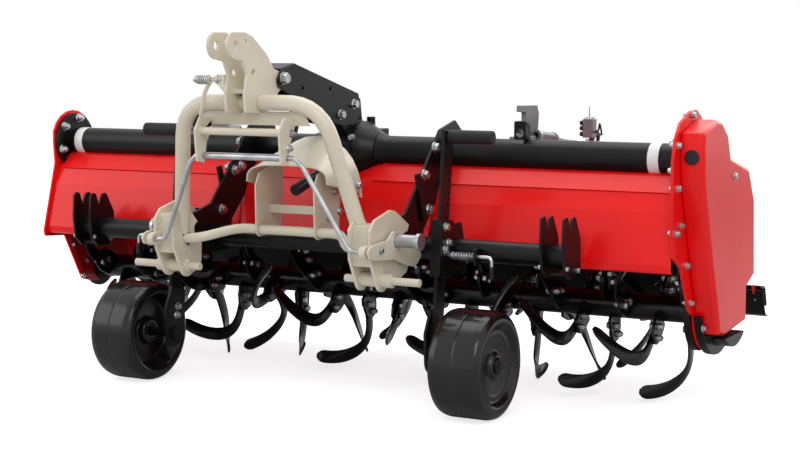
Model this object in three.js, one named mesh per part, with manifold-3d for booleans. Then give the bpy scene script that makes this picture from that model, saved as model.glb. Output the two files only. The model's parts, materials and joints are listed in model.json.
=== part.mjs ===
// Rotary tiller for a three-point hitch, with a quick-hitch frame, chain side drive and two gauge wheels.
// Millimetres. +X is the right-hand (chain case) side seen from the tractor, -Y faces the tractor, +Z up.
// Inside the machine group Y is measured from the main pipe's axis and X from the hitch's centre line.
import * as THREE from 'three';
import { mergeVertices } from 'three/addons/utils/BufferGeometryUtils.js';
import Module from 'manifold-3d';

const wasm = await Module();
wasm.setup();

// ---------------------------------------------------------------- driving dimensions

const GAP = 0.3; // between pieces that touch
const PLATE = 10; // structural plate
const SHEET = 5; // hood and board sheet

const PIPE = { y: 0, z: 799, radius: 50 };
const LEFT_END = -1237; // inner face of the left side plate
const RIGHT_END = 1208; // inner face of the chain case's back plate
const GEARBOX_HALF = 118;
const BELL = { radius: 60, end: 148 }; // where a main pipe widens to meet the gearbox

const ROTOR = { y: 160, z: 306, tube: 44, swing: 302 };
const TOOL_BAR = { y: -250, z: 507, radius: 36, left: -976.5, right: 931.5 };
const LINK_X = 372; // inner face of each link plate
const HITCH_PIN = { y: -450, z: 550, radius: 21, end: 500 };

const WHEEL = { x: 652, y: -360, radius: 170, width: 176, bore: 15 };
const POST = { x: 507, thickness: 12, width: 60, lean: THREE.MathUtils.degToRad(6.4), top: 885 };
const CLAMP = { z: 520, height: 180 };

const HINGE = { y: 458, z: 472, radius: 14 }; // rear board's hinge line
const ROD = { x: 645, y: 150, z: 853, slope: THREE.MathUtils.degToRad(6), radius: 9 };
const ROD_LEAD = THREE.MathUtils.degToRad(19.5); // the board arm's angle past square to the rod

const ARCH = { radius: 25, topZ: 975, lean: 0.238, y: -506, half: 355, splay: 0.209, corner: 120 };
const LOWER_PIN = { y: -510, z: 432, radius: 12.5, inner: 277, outer: 540 };

// ---------------------------------------------------------------- finishes

const finish = (color, roughness, metalness) => (
  new THREE.MeshStandardMaterial({ color, roughness, metalness })
);
const red = finish(0xe01010, 0.35, 0.1);
const darkRed = finish(0x8a0c0c, 0.45, 0.1);
const cream = finish(0xe4dcc8, 0.45, 0.1);
const black = finish(0x1c1c1d, 0.45, 0.2);
const blade = finish(0x262626, 0.5, 0.6);
const grey = finish(0x77797b, 0.5, 0.4);
const zinc = finish(0xc9ccd0, 0.3, 0.9);
const rubber = finish(0x2b2b2c, 0.8, 0.0);

// ---------------------------------------------------------------- solids

/** Turns a closed geometry into a manifold solid with outward faces. */
function solid(geometry) {
  const bare = geometry.clone();
  for (const name of Object.keys(bare.attributes)) {
    if (name !== 'position') bare.deleteAttribute(name);
  }
  const merged = mergeVertices(bare, 1e-4);
  const vertProperties = new Float32Array(merged.attributes.position.array);
  const triVerts = new Uint32Array(merged.index.array);
  const made = new wasm.Manifold(new wasm.Mesh({ numProp: 3, vertProperties, triVerts }));
  if (made.volume() >= 0) return made;
  for (let i = 0; i < triVerts.length; i += 3) {
    [triVerts[i + 1], triVerts[i + 2]] = [triVerts[i + 2], triVerts[i + 1]];
  }
  return new wasm.Manifold(new wasm.Mesh({ numProp: 3, vertProperties, triVerts }));
}

/** Turns a manifold solid back into a flat-shaded geometry. */
function geometryOf(manifold) {
  const mesh = manifold.getMesh();
  const positions = new Float32Array(mesh.triVerts.length * 3);
  mesh.triVerts.forEach((vertex, i) => {
    for (let k = 0; k < 3; k += 1) positions[3 * i + k] = mesh.vertProperties[mesh.numProp * vertex + k];
  });
  const geometry = new THREE.BufferGeometry();
  geometry.setAttribute('position', new THREE.BufferAttribute(positions, 3));
  geometry.computeVertexNormals();
  return geometry;
}

const join = (...parts) => parts.reduce((whole, part) => whole.add(part));
const cut = (body, ...tools) => tools.reduce((rest, tool) => rest.subtract(tool), body);

/** A box between two corners. */
function box(x0, x1, y0, y1, z0, z1) {
  const geometry = new THREE.BoxGeometry(x1 - x0, y1 - y0, z1 - z0);
  geometry.translate((x0 + x1) / 2, (y0 + y1) / 2, (z0 + z1) / 2);
  return solid(geometry);
}

/** A straight round bar between two points. */
function bar(from, to, radius, segments = 16, endRadius = radius) {
  const start = new THREE.Vector3(...from);
  const end = new THREE.Vector3(...to);
  const axis = end.clone().sub(start);
  const geometry = new THREE.CylinderGeometry(endRadius, radius, axis.length(), segments);
  const turn = new THREE.Quaternion().setFromUnitVectors(new THREE.Vector3(0, 1, 0), axis.normalize());
  geometry.applyQuaternion(turn);
  geometry.translate(...start.add(end).multiplyScalar(0.5).toArray());
  return solid(geometry);
}

/** A bar parallel to X. */
const barX = (x0, x1, y, z, radius, segments = 24) => bar([x0, y, z], [x1, y, z], radius, segments);

/** A round bar bent along a curve. */
function bentBar(curve, steps, radius, segments = 12) {
  const section = new THREE.Shape();
  for (let i = 0; i < segments; i += 1) {
    const angle = (i / segments) * 2 * Math.PI;
    const point = [radius * Math.cos(angle), radius * Math.sin(angle)];
    if (i === 0) section.moveTo(...point);
    else section.lineTo(...point);
  }
  section.closePath();
  return solid(new THREE.ExtrudeGeometry(section, { steps, extrudePath: curve, bevelEnabled: false }));
}

/** A path of straight legs joined by quadratic bends that start `reach` before each corner. */
function legsAndBends(points, reach) {
  const corners = points.map((point) => new THREE.Vector3(...point));
  const path = new THREE.CurvePath();
  let last = corners[0];
  for (let i = 1; i < corners.length - 1; i += 1) {
    const before = corners[i].clone().add(corners[i - 1].clone().sub(corners[i]).setLength(reach));
    const after = corners[i].clone().add(corners[i + 1].clone().sub(corners[i]).setLength(reach));
    path.add(new THREE.LineCurve3(last, before));
    path.add(new THREE.QuadraticBezierCurve3(before, corners[i], after));
    last = after;
  }
  path.add(new THREE.LineCurve3(last, corners[corners.length - 1]));
  return path;
}

/** An outline in the (y, z) plane, as a shape. */
const outline = (points) => new THREE.Shape(points.map(([y, z]) => new THREE.Vector2(y, z)));

/** A plate that stands across X, from an outline in (y, z). */
function plateX(points, x0, x1) {
  const shape = Array.isArray(points) ? outline(points) : points;
  const settings = { depth: x1 - x0, bevelEnabled: false, curveSegments: 8 };
  const geometry = new THREE.ExtrudeGeometry(shape, settings);
  geometry.applyMatrix4(new THREE.Matrix4().set(0, 0, 1, x0, 1, 0, 0, 0, 0, 1, 0, 0, 0, 0, 0, 1));
  return solid(geometry);
}

/** A plate that stands across Y, from an outline in (x, z). */
function plateY(points, y0, y1) {
  const shape = new THREE.Shape(points.map(([x, z]) => new THREE.Vector2(x, z)));
  const geometry = new THREE.ExtrudeGeometry(shape, { depth: y1 - y0, bevelEnabled: false });
  geometry.rotateX(Math.PI / 2);
  geometry.translate(0, y1, 0);
  return solid(geometry);
}

/** Points of an arc in (y, z), from one angle in degrees to another. */
function arc(y, z, radius, from, to, steps = 8) {
  return Array.from({ length: steps + 1 }, (_, i) => {
    const angle = THREE.MathUtils.degToRad(from + ((to - from) * i) / steps);
    return [y + radius * Math.cos(angle), z + radius * Math.sin(angle)];
  });
}

/** A closed outline: a line of points and the same line shifted by `thickness` to its left. */
function sheetOutline(points, thickness) {
  const vectors = points.map(([y, z]) => new THREE.Vector2(y, z));
  const shifted = vectors.map((point, i) => {
    const before = vectors[Math.max(i - 1, 0)];
    const after = vectors[Math.min(i + 1, vectors.length - 1)];
    const into = i > 0 ? point.clone().sub(before).normalize() : after.clone().sub(point).normalize();
    const out = i < vectors.length - 1 ? after.clone().sub(point).normalize() : into;
    const normal = new THREE.Vector2(-into.y - out.y, into.x + out.x).normalize();
    const stretch = 1 / Math.max(0.5, normal.dot(new THREE.Vector2(-into.y, into.x)));
    return point.clone().addScaledVector(normal, thickness * stretch);
  });
  return [...vectors, ...shifted.reverse()].map((vector) => [vector.x, vector.y]);
}

/** A copy of a solid on the other side of the centre line. */
const mirrored = (manifold) => manifold.mirror([1, 0, 0]);
const onSide = (side, manifold) => (side === 'left' ? mirrored(manifold) : manifold);
const SIDES = ['left', 'right'];

// ---------------------------------------------------------------- the group

const group = new THREE.Group();
const machine = new THREE.Group();
group.add(machine);

function add(name, manifold, material) {
  const mesh = new THREE.Mesh(geometryOf(manifold), material);
  mesh.name = name;
  machine.add(mesh);
}

// ---------------------------------------------------------------- main frame

/** The bell at a main pipe's inner end, `grown` by a clearance. */
const bell = (grown) => bar(
  [GEARBOX_HALF + GAP - grown, PIPE.y, PIPE.z], [BELL.end + grown, PIPE.y, PIPE.z],
  BELL.radius + grown, 28, PIPE.radius + grown,
);

function mainPipe(side) {
  const end = side === 'left' ? -LEFT_END : RIGHT_END;
  const pipe = barX(GEARBOX_HALF + GAP, end - GAP, PIPE.y, PIPE.z, PIPE.radius, 28);
  const flange = barX(end - 14, end - GAP, PIPE.y, PIPE.z, 104, 32);
  return onSide(side, join(pipe, flange, bell(0)));
}

const INPUT = {
  back: [0, -105, 760],
  front: [0, -367, 683],
  radius: 19,
};

/** The gearbox's round body: a drum with shouldered ends, `grown` by a clearance. */
function gearboxDrum(grown) {
  const half = GEARBOX_HALF + grown;
  const profile = [
    [0, -half], [60, -half], [70, -104], [97, -60], [100, -44], [100, 44], [97, 60], [70, 104], [60, half],
    [0, half],
  ];
  const points = profile.map(([radius, x]) => new THREE.Vector2(radius === 0 ? 0 : radius + grown, x));
  const geometry = new THREE.LatheGeometry(points, 28);
  geometry.rotateZ(-Math.PI / 2);
  geometry.translate(0, PIPE.y, PIPE.z);
  return solid(geometry);
}

function gearbox() {
  const body = gearboxDrum(0);
  const rear = box(-80, 80, 20, 118, PIPE.z - 78, PIPE.z + 70);
  const snout = bar([0, 20, 797], [0, -104, 760.5], 74, 20, 58);
  const lug = plateX([[-150, 905], [-128, 942], [-40, 978], [0, 975], [20, 860], [-90, 850]], -34, 34);
  const filler = bar([52, 40, PIPE.z + 60], [52, 40, PIPE.z + 112], 15, 12);
  return join(body, rear, snout, lug, filler);
}

function inputShaft() {
  const shaft = bar(INPUT.back, INPUT.front, INPUT.radius, 18);
  const collar = bar([0, -108, 759.1], [0, -135, 751.2], 32, 18);
  return join(shaft, collar);
}

function topMast() {
  const cheek = [
    [-538, 1046], [-515, 1075], [-440, 1096], [-36, 992], [-28, 960], [-46, 890], [-128, 884], [-240, 902],
    [-500, 1010], [-530, 1022],
  ];
  const web = sheetOutline([[-500, 1079], [-440, 1096], [-60, 998]], -6);
  const holes = [[-391, 1016], [-221, 1011], [-328, 959]].map(([y, z]) => barX(-60, 60, y, z, 7, 10));
  return cut(join(plateX(cheek, 42, 48), plateX(cheek, -48, -42), plateX(web, -42.5, 42.5)), ...holes);
}

function linkPlate(side) {
  const shape = [
    ...arc(HITCH_PIN.y, HITCH_PIN.z, 36, 100, 250, 6), [-400, 452], [-215, 452], [-190, 560], [0, 742],
    [85, 752],
    [88, 866], [35, 905], [-75, 878], [-180, 760], [-310, 622],
  ];
  const plate = plateX(shape, LINK_X, LINK_X + PLATE);
  const pipeHole = barX(LINK_X - 5, LINK_X + 15, PIPE.y, PIPE.z, PIPE.radius + GAP, 28);
  const barHole = barX(LINK_X - 5, LINK_X + 15, TOOL_BAR.y, TOOL_BAR.z, TOOL_BAR.radius + GAP, 16);
  return onSide(side, cut(plate, pipeHole, barHole));
}

function hitchPin(side) {
  const from = LINK_X + PLATE + GAP;
  const sleeve = barX(from, HITCH_PIN.end, HITCH_PIN.y, HITCH_PIN.z, HITCH_PIN.radius, 16);
  const head = barX(HITCH_PIN.end - 1, HITCH_PIN.end + 12, HITCH_PIN.y, HITCH_PIN.z, 27, 16);
  return onSide(side, join(sleeve, head));
}

const toolBar = () => barX(TOOL_BAR.left, TOOL_BAR.right, TOOL_BAR.y, TOOL_BAR.z, TOOL_BAR.radius, 16);

/** Two notched cheeks on the tool bar, joined by a strap below it. */
function notchBracket(x) {
  const cheek = [
    ...arc(-301, 617, 17, 170, 10, 5), [-274, 590], ...arc(-241, 613, 17, 150, 20, 5), [-190, 560],
    [-188, 470],
    [-222, 442], [-280, 442], [-312, 470], [-322, 540],
  ];
  const strap = box(x - 37, x + 37, -276, -224, 450, 458);
  const cheeks = [x - 37, x + 37].map((at) => plateX(cheek, at - 4.5, at + 4.5));
  const hole = barX(x - 60, x + 60, TOOL_BAR.y, TOOL_BAR.z, TOOL_BAR.radius + GAP, 16);
  return cut(join(...cheeks, strap), hole);
}

// ---------------------------------------------------------------- gauge wheels

/** Moves a solid made along the upright post at the wheel's plane to the leaning post. */
const AXLE = { y: WHEEL.y, z: WHEEL.radius };
function leaned(manifold) {
  const turn = THREE.MathUtils.radToDeg(POST.lean);
  return manifold.translate([0, -AXLE.y, -AXLE.z]).rotate([-turn, 0, 0]).translate([0, AXLE.y, AXLE.z]);
}

const POST_MID = AXLE.y + 4; // the upright post's centre in Y before it leans
const HOLES = [380, 419, 458, 497, 536, 575, 614, 653, 692, 731]; // heights of the post's setting holes

function wheelPost(side) {
  const { x, thickness, width } = POST;
  const upright = box(x, x + thickness, POST_MID - width / 2, POST_MID + width / 2, 210, POST.top + 6);
  const arm = plateX(
    [...arc(AXLE.y, AXLE.z, 46, 180, 360, 8), [AXLE.y + 52, 250], [POST_MID + 34, 330], [POST_MID - 34, 330],
      [AXLE.y - 60, 250]],
    x - PLATE, x + 0.01,
  );
  const axle = barX(x - PLATE, WHEEL.x + 72, AXLE.y, AXLE.z, WHEEL.bore - 1, 16);
  const shoulder = barX(x - PLATE - 12, x - PLATE + 1, AXLE.y, AXLE.z, 24, 16);
  const holes = HOLES.map((z) => barX(x - 5, x + thickness + 5, POST_MID + 14, z, 7, 10));
  return onSide(side, leaned(cut(join(upright, arm, axle, shoulder), ...holes)));
}

function postGrip(side) {
  const z = POST.top - 14;
  const grip = barX(POST.x + POST.thickness + GAP, POST.x + 165, POST_MID, z, 22, 18);
  return onSide(side, leaned(grip));
}

function wheel(side) {
  const half = WHEEL.width / 2;
  const { radius } = WHEEL;
  const bore = WHEEL.bore;
  const profile = [
    [bore, -52], [42, -52], [44, -26], [112, -26], [132, -half + 2], [radius - 26, -half],
    [radius - 8, -half + 9],
    [radius, -half + 30], [radius, half - 30], [radius - 8, half - 9], [radius - 26, half], [128, half - 3],
    [112, half - 17], [44, half - 24], [38, half - 11], [bore, half - 11], [bore, -52],
  ];
  const geometry = new THREE.LatheGeometry(profile.map(([r, x]) => new THREE.Vector2(r, x)), 30);
  geometry.rotateZ(-Math.PI / 2);
  geometry.translate(WHEEL.x, AXLE.y, AXLE.z);
  return onSide(side, solid(geometry));
}

function postClamp(side) {
  const { x, thickness, width } = POST;
  const y0 = POST_MID - width / 2;
  const y1 = POST_MID + width / 2;
  const z0 = CLAMP.z - CLAMP.height / 2;
  const z1 = CLAMP.z + CLAMP.height / 2;
  const shell = leaned(box(x - 12, x + thickness + 12, y0 - 12, y1 + 8, z0, z1));
  const slot = leaned(box(x - 1.5, x + thickness + 1.5, y0 - 1.5, y1 + 1.5, z0 - 50, z1 + 50));
  const ear = [[-296, 592], [-214, 592], [-196, 540], [-196, 470], [-214, 448], [-296, 448]];
  const ears = [x - 12, x + thickness + 4].map((at) => plateX(ear, at, at + 8));
  const hole = barX(x - 40, x + 60, TOOL_BAR.y, TOOL_BAR.z, TOOL_BAR.radius + GAP, 16);
  return onSide(side, cut(join(shell, ...ears), slot, hole));
}

const LOCK = { y: -312, z: 497 };

function lockPin(side) {
  const from = POST.x + POST.thickness + 12 + GAP;
  const corner = POST.x + 178;
  const { y, z } = LOCK;
  const path = legsAndBends([[from, y, z], [corner, y, z], [corner, y, z - 68]], 16);
  const spring = barX(from + 20, from + 96, LOCK.y, LOCK.z, 11, 12);
  const stop = box(from + 98, from + 106, LOCK.y - 18, LOCK.y + 24, LOCK.z - 26, LOCK.z + 26);
  return onSide(side, join(bentBar(path, 12, 6, 6), spring, stop));
}

// ---------------------------------------------------------------- hood, side plates and chain case

const HOOD_RADIUS = 325; // inside, about the rotor
const HOOD_FRONT = [[-24, 760], [-40, 748], [-80, 706], [-112, 641], [-156, 486], [-156, 464], [-146, 458]];

/** What stands through the hood's top edge: the gearbox and the ends of the main pipes. */
function hoodClearance() {
  const pipe = barX(LEFT_END, RIGHT_END, PIPE.y, PIPE.z, PIPE.radius + GAP, 28);
  const bells = SIDES.map((side) => onSide(side, bell(1)));
  const rear = box(-81, 81, 0, 119, PIPE.z - 79, PIPE.z + 71);
  const flanges = [[LEFT_END - 1, LEFT_END + 15], [RIGHT_END - 15, RIGHT_END + 1]].map(
    ([x0, x1]) => barX(x0, x1, PIPE.y, PIPE.z, 105, 32),
  );
  const snout = bar([0, 20, 797], [0, -104, 760.5], 76, 20, 60);
  return join(pipe, ...bells, gearboxDrum(1), rear, snout, ...flanges);
}

function hoodFront(x0, x1) {
  return cut(plateX(sheetOutline(HOOD_FRONT, SHEET), x0, x1), hoodClearance());
}

function hoodRear() {
  const line = [[1, 743], [60, 738], [112, 690], ...arc(ROTOR.y, ROTOR.z, HOOD_RADIUS, 84, 31, 8)];
  const sheet = plateX(sheetOutline(line, SHEET), LEFT_END + GAP, RIGHT_END - GAP);
  const plates = SIDES.map((side) => onSide(side, box(LINK_X - 1, LINK_X + PLATE + 1, -10, 90, 730, 760)));
  return cut(sheet, hoodClearance(), ...plates);
}

function sidePlateLeft() {
  const shape = [
    [-109, 797], ...arc(PIPE.y, PIPE.z, 116, 160, 20, 8), [116, 790], [230, 665], [370, 580], [462, 470],
    [440, 380], [330, 250], [100, 246], [35, 262], [-60, 440], [-168, 448], [-173, 468], [-104, 719],
  ];
  const plate = plateX(shape, LEFT_END - 8, LEFT_END);
  const boreHole = barX(LEFT_END - 20, LEFT_END + 20, ROTOR.y, ROTOR.z, 62, 24);
  return cut(plate, boreHole);
}

/** Dark wear plate on the inside of the left side plate's foot. */
function sideGuardLeft() {
  const shape = [[-40, 432], [300, 432], [318, 262], [104, 256], [44, 270]];
  const plate = plateX(shape, LEFT_END + GAP, LEFT_END + 6);
  return cut(plate, barX(LEFT_END - 5, LEFT_END + 15, ROTOR.y, ROTOR.z, 62, 24));
}

/** Flanged bearing that closes the hole in the left side plate. */
function rotorBearing() {
  const flange = barX(LEFT_END - 24, LEFT_END - 8 - GAP, ROTOR.y, ROTOR.z, 84, 24);
  const boss = barX(LEFT_END - 40, LEFT_END + 10, ROTOR.y, ROTOR.z, 58, 24);
  return cut(join(flange, boss), barX(LEFT_END - 30, LEFT_END + 20, ROTOR.y, ROTOR.z, 31, 20));
}

const CASE = { back: RIGHT_END, flange: 10, outer: RIGHT_END + 84 };

function chainCaseBack() {
  const shape = [
    [-170, 801], [-150, 868], [-112, 916], [-20, 950], [35, 954], [85, 930], [130, 860], [300, 790],
    [400, 660], [462, 470], [420, 330], ...arc(ROTOR.y + 22, ROTOR.z + 8, 136, 0, -175, 10), [-4, 330],
    [-85, 473], [-162, 512],
    [-170, 560],
  ];
  const plate = plateX(shape, CASE.back, CASE.back + CASE.flange);
  return cut(plate, barX(CASE.back - 5, CASE.back + 20, ROTOR.y, ROTOR.z, 48, 24));
}

/** Domed outer cover: the base outline tapers a little to the outer face. */
function chainCaseCover() {
  const base = [
    [-112, 846], [-104, 888], [20, 924], [70, 918], [132, 878], [168, 800], [364, 754], [430, 648],
    [450, 394], [364, 360], [364, 250], [140, 232], [74, 248], [40, 352], [-8, 466], [-66, 630], [-104, 730],
  ];
  const x0 = CASE.back + CASE.flange + GAP;
  const depth = CASE.outer - x0;
  const bevel = 12;
  const geometry = new THREE.ExtrudeGeometry(outline(base), {
    depth: depth - bevel,
    bevelThickness: bevel,
    bevelSize: 11,
    bevelOffset: -11,
    bevelSegments: 1,
  });
  geometry.applyMatrix4(new THREE.Matrix4().set(0, 0, 1, x0, 1, 0, 0, 0, 0, 1, 0, 0, 0, 0, 0, 1));
  return cut(solid(geometry), box(x0 - 30, x0, -400, 700, 0, 1200));
}

/** Stepped guard round the foot of the case. */
function chainCaseGuard() {
  const wide = [
    ...arc(218, 345, 186, -168, -12, 14), [372, 306], [367.5, 246], [140, 227], [69, 243], [50, 306],
  ];
  const narrow = arc(222, 345, 156, -130, -50, 10);
  const x0 = CASE.back + CASE.flange + GAP;
  return join(plateX(wide, x0, x0 + 26), plateX(narrow, x0 + 25, CASE.outer + 6));
}

function rotorShieldRight() {
  const disc = barX(RIGHT_END - 20, RIGHT_END - GAP, ROTOR.y, ROTOR.z, 128, 28);
  return cut(disc, barX(RIGHT_END - 30, RIGHT_END + 10, ROTOR.y, ROTOR.z, 56, 24));
}

// ---------------------------------------------------------------- rotor

const ROTOR_ENDS = { left: LEFT_END - 2, right: RIGHT_END + 6 };
const SECTIONS = 4;
const STATIONS = 7; // tine stations in one section
const STATION_TURN = 65; // degrees from one station to the next
const END_TINES = 160; // tines this near the rotor's ends turn inwards
const TUBE_LEFT = LEFT_END + 24;
const TUBE_RIGHT = RIGHT_END - 26;

const TINE = {
  width: 46,
  thickness: 8,
  // the middle line: distance from the rotor's axis, degrees behind the root, distance aside
  line: [[20, 0, 0], [120, 1, 0], [190, 6, 2], [231, 14, 16], [259, 26, 48], [274, 37, 86], [279.5, 45, 120]],
};

/** One tine: a strip that leaves the tube, trails behind its root and turns aside along the axis. */
function tine(x, angle, hand) {
  const middle = TINE.line.map(([reach, behind, aside]) => {
    const turned = angle - THREE.MathUtils.degToRad(behind);
    return new THREE.Vector3(
      x + hand * aside, ROTOR.y + reach * Math.cos(turned), ROTOR.z + reach * Math.sin(turned),
    );
  });
  const rings = middle.map((point, i) => {
    const next = middle[Math.min(i + 1, middle.length - 1)];
    const along = next.clone().sub(middle[Math.max(i - 1, 0)]).normalize();
    const flat = new THREE.Vector3(hand, 0, 0).addScaledVector(along, -hand * along.x).normalize();
    const across = new THREE.Vector3().crossVectors(along, flat);
    const wide = across.multiplyScalar(TINE.width / 2);
    const thick = flat.multiplyScalar(TINE.thickness / 2);
    return [[-1, -1], [1, -1], [1, 1], [-1, 1]].map(([a, b]) => (
      point.clone().addScaledVector(wide, a).addScaledVector(thick, b).toArray()
    ));
  });
  return solid(loft(rings));
}

/** A closed solid through rings of the same number of points. */
function loft(rings) {
  const count = rings[0].length;
  const index = [];
  for (let i = 0; i < rings.length - 1; i += 1) {
    for (let k = 0; k < count; k += 1) {
      const a = i * count + k;
      const b = i * count + ((k + 1) % count);
      index.push(a, b, a + count, b, b + count, a + count);
    }
  }
  const last = (rings.length - 1) * count;
  for (let k = 1; k < count - 1; k += 1) {
    index.push(0, k + 1, k, last, last + k, last + k + 1);
  }
  const geometry = new THREE.BufferGeometry();
  geometry.setAttribute('position', new THREE.BufferAttribute(new Float32Array(rings.flat(2)), 3));
  geometry.setIndex(index);
  return geometry;
}

function rotorSection(number) {
  const length = (TUBE_RIGHT - TUBE_LEFT) / SECTIONS;
  const x0 = TUBE_LEFT + number * length + GAP / 2;
  const x1 = x0 + length - GAP;
  const parts = [barX(x0, x1, ROTOR.y, ROTOR.z, ROTOR.tube, 18)];
  if (number === 0) parts.push(barX(ROTOR_ENDS.left - 24, x0 + 1, ROTOR.y, ROTOR.z, 26, 16));
  if (number === SECTIONS - 1) parts.push(barX(x1 - 1, ROTOR_ENDS.right, ROTOR.y, ROTOR.z, 26, 16));
  for (let i = 0; i < STATIONS; i += 1) {
    const x = x0 + ((i + 0.65) * (x1 - x0)) / STATIONS;
    const turn = THREE.MathUtils.degToRad((number * STATIONS + i) * STATION_TURN - 18);
    for (const [half, hand] of [[0, 1], [Math.PI, -1]]) {
      const angle = turn + half;
      parts.push(tine(x, angle, inward(x, hand)));
    }
  }
  return join(...parts);
}

/** Tines at the rotor's ends turn their blades inwards. */
function inward(x, hand) {
  if (x < TUBE_LEFT + END_TINES) return 1;
  if (x > TUBE_RIGHT - END_TINES) return -1;
  return hand;
}

// ---------------------------------------------------------------- rear board and pressure rods

const BOARD_LINE = [[466, 470], [489, 430], [514, 374], [552, 268], [566, 246], [590, 238]];
// the board's lower part reaches past the side plates
const BOARD_WIDE = { below: 332, left: -1290, right: 1298 };

function rearBoard() {
  const x0 = LEFT_END + 8;
  const x1 = RIGHT_END - 8;
  const profile = sheetOutline(BOARD_LINE, -SHEET);
  const sheet = plateX(profile, x0, x1);
  const lower = plateX(profile, BOARD_WIDE.left, BOARD_WIDE.right);
  const above = box(BOARD_WIDE.left - 1, BOARD_WIDE.right + 1, 400, 700, BOARD_WIDE.below, 500);
  const hinge = barX(x0, x1, HINGE.y, HINGE.z, HINGE.radius, 16);
  const arms = SIDES.map((side) => onSide(side, boardArm()));
  return join(sheet, cut(lower, above), hinge, ...arms);
}

const ROD_DIRECTION = [Math.cos(ROD.slope), -Math.sin(ROD.slope)];
const ARM_PIN = (() => {
  // foot of the perpendicular from the hinge line to the rod, then a little further along the rod
  const toHinge = [HINGE.y - ROD.y, HINGE.z - ROD.z];
  const along = toHinge[0] * ROD_DIRECTION[0] + toHinge[1] * ROD_DIRECTION[1];
  const foot = [ROD.y + along * ROD_DIRECTION[0], ROD.z + along * ROD_DIRECTION[1]];
  const height = Math.hypot(foot[0] - HINGE.y, foot[1] - HINGE.z);
  const past = height * Math.tan(ROD_LEAD);
  return [foot[0] + past * ROD_DIRECTION[0], foot[1] + past * ROD_DIRECTION[1]];
})();

/** Slotted arm that stands up from the board's hinge and takes the pressure rod's pin. */
function boardArm() {
  const base = [HINGE.y, HINGE.z];
  const reach = [ARM_PIN[0] - base[0], ARM_PIN[1] - base[1]];
  const length = Math.hypot(...reach);
  const unit = [reach[0] / length, reach[1] / length];
  const side = [-unit[1], unit[0]];
  const at = (r, s) => [base[0] + r * unit[0] + s * side[0], base[1] + r * unit[1] + s * side[1]];
  const shape = [at(-4, -8), at(60, -30), at(length + 52, -28), at(length + 52, 28), at(60, 24), at(-4, 8)];
  const slot = [at(length - 34, -16), at(length + 34, -16), at(length + 34, 16), at(length - 34, 16)];
  return cut(plateX(shape, ROD.x - 5, ROD.x + 5), plateX(slot, ROD.x - 20, ROD.x + 20));
}

function pressureRod(side) {
  const from = [ROD.x, ROD.y + 12 * ROD_DIRECTION[0], ROD.z + 12 * ROD_DIRECTION[1]];
  const neck = [ROD.x, ARM_PIN[0] - 62 * ROD_DIRECTION[0], ARM_PIN[1] - 62 * ROD_DIRECTION[1]];
  const shaft = bar(from, neck, ROD.radius, 12);
  const block = bar(
    [ROD.x, ARM_PIN[0] - 64 * ROD_DIRECTION[0], ARM_PIN[1] - 64 * ROD_DIRECTION[1]],
    [ROD.x, ARM_PIN[0] - 48 * ROD_DIRECTION[0], ARM_PIN[1] - 48 * ROD_DIRECTION[1]], 17, 12,
  );
  const cheek = (x0, x1) => plateX(
    [[-58, -11], [12, -11], [12, 11], [-58, 11]].map(([a, b]) => [
      ARM_PIN[0] + a * ROD_DIRECTION[0] - b * ROD_DIRECTION[1],
      ARM_PIN[1] + a * ROD_DIRECTION[1] + b * ROD_DIRECTION[0],
    ]), x0, x1,
  );
  const pin = barX(ROD.x - 16, ROD.x + 16, ARM_PIN[0], ARM_PIN[1], 7, 12);
  return onSide(side, join(shaft, block, cheek(ROD.x - 16, ROD.x - 10), cheek(ROD.x + 10, ROD.x + 16), pin));
}

/** Bracket on the main pipe with the sleeve that guides the pressure rod. */
function rodBracket(side) {
  const saddle = join(box(612, 662, -34, 62, 828, 858), box(630, 668, -34, 6, 850, 908));
  const hook = plateX(
    [[40, 836], [143, 852], [153, 929], [138, 956], [10, 958], [7, 938], [47, 934], [47, 902], [40, 890]],
    617, 634,
  );
  const at = (distance) => [ROD.x, ROD.y + distance * ROD_DIRECTION[0], ROD.z + distance * ROD_DIRECTION[1]];
  const sleeve = bar(at(-48), at(104), 17, 12);
  const bore = bar(at(-220), at(200), ROD.radius + 1.5, 12);
  const pipe = barX(560, 700, PIPE.y, PIPE.z, PIPE.radius + GAP, 28);
  return onSide(side, cut(join(saddle, hook, sleeve), bore, pipe));
}

function sensorBox() {
  const body = box(713, 749, 340, 378, 841, 905);
  const plugs = [853, 873, 891].map((z) => barX(697, 714, 358, z, 7, 8));
  const stay = box(723, 741, 372, 377.5, 566, 842);
  return cut(join(body, stay, ...plugs), barX(600, 800, ROTOR.y, ROTOR.z, HOOD_RADIUS + SHEET + GAP, 90));
}

/** Side extension of the levelling board, folded behind it. */
const EXTENSION = { foot: [551, 271], head: [528.6, 333.7], width: 250, offset: 15 };
function boardExtension(side) {
  const [fy, fz] = EXTENSION.foot;
  const [hy, hz] = EXTENSION.head;
  const length = Math.hypot(hy - fy, hz - fz);
  const normal = [(hz - fz) / length, -(hy - fy) / length];
  const shift = (point, distance) => [point[0] + normal[0] * distance, point[1] + normal[1] * distance];
  const profile = [
    shift(EXTENSION.foot, EXTENSION.offset + 9), shift(EXTENSION.head, EXTENSION.offset + 9),
    shift(EXTENSION.head, EXTENSION.offset + 14), shift(EXTENSION.foot, EXTENSION.offset + 14),
  ];
  const edge = side === 'left' ? -BOARD_WIDE.left - 4 : BOARD_WIDE.right - 4;
  const plate = plateX(profile, edge - EXTENSION.width, edge - 10);
  const axis = [shift(EXTENSION.foot, EXTENSION.offset), shift(EXTENSION.head, EXTENSION.offset)];
  const knuckle = bar([edge, ...axis[0]], [edge, ...axis[1]], 7, 10);
  const leaf = plateX(
    [shift(EXTENSION.foot, EXTENSION.offset + 1), shift(EXTENSION.head, EXTENSION.offset + 1),
      shift(EXTENSION.head, EXTENSION.offset + 14), shift(EXTENSION.foot, EXTENSION.offset + 14)],
    edge - 12, edge,
  );
  return onSide(side, join(plate, knuckle, leaf));
}

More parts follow.
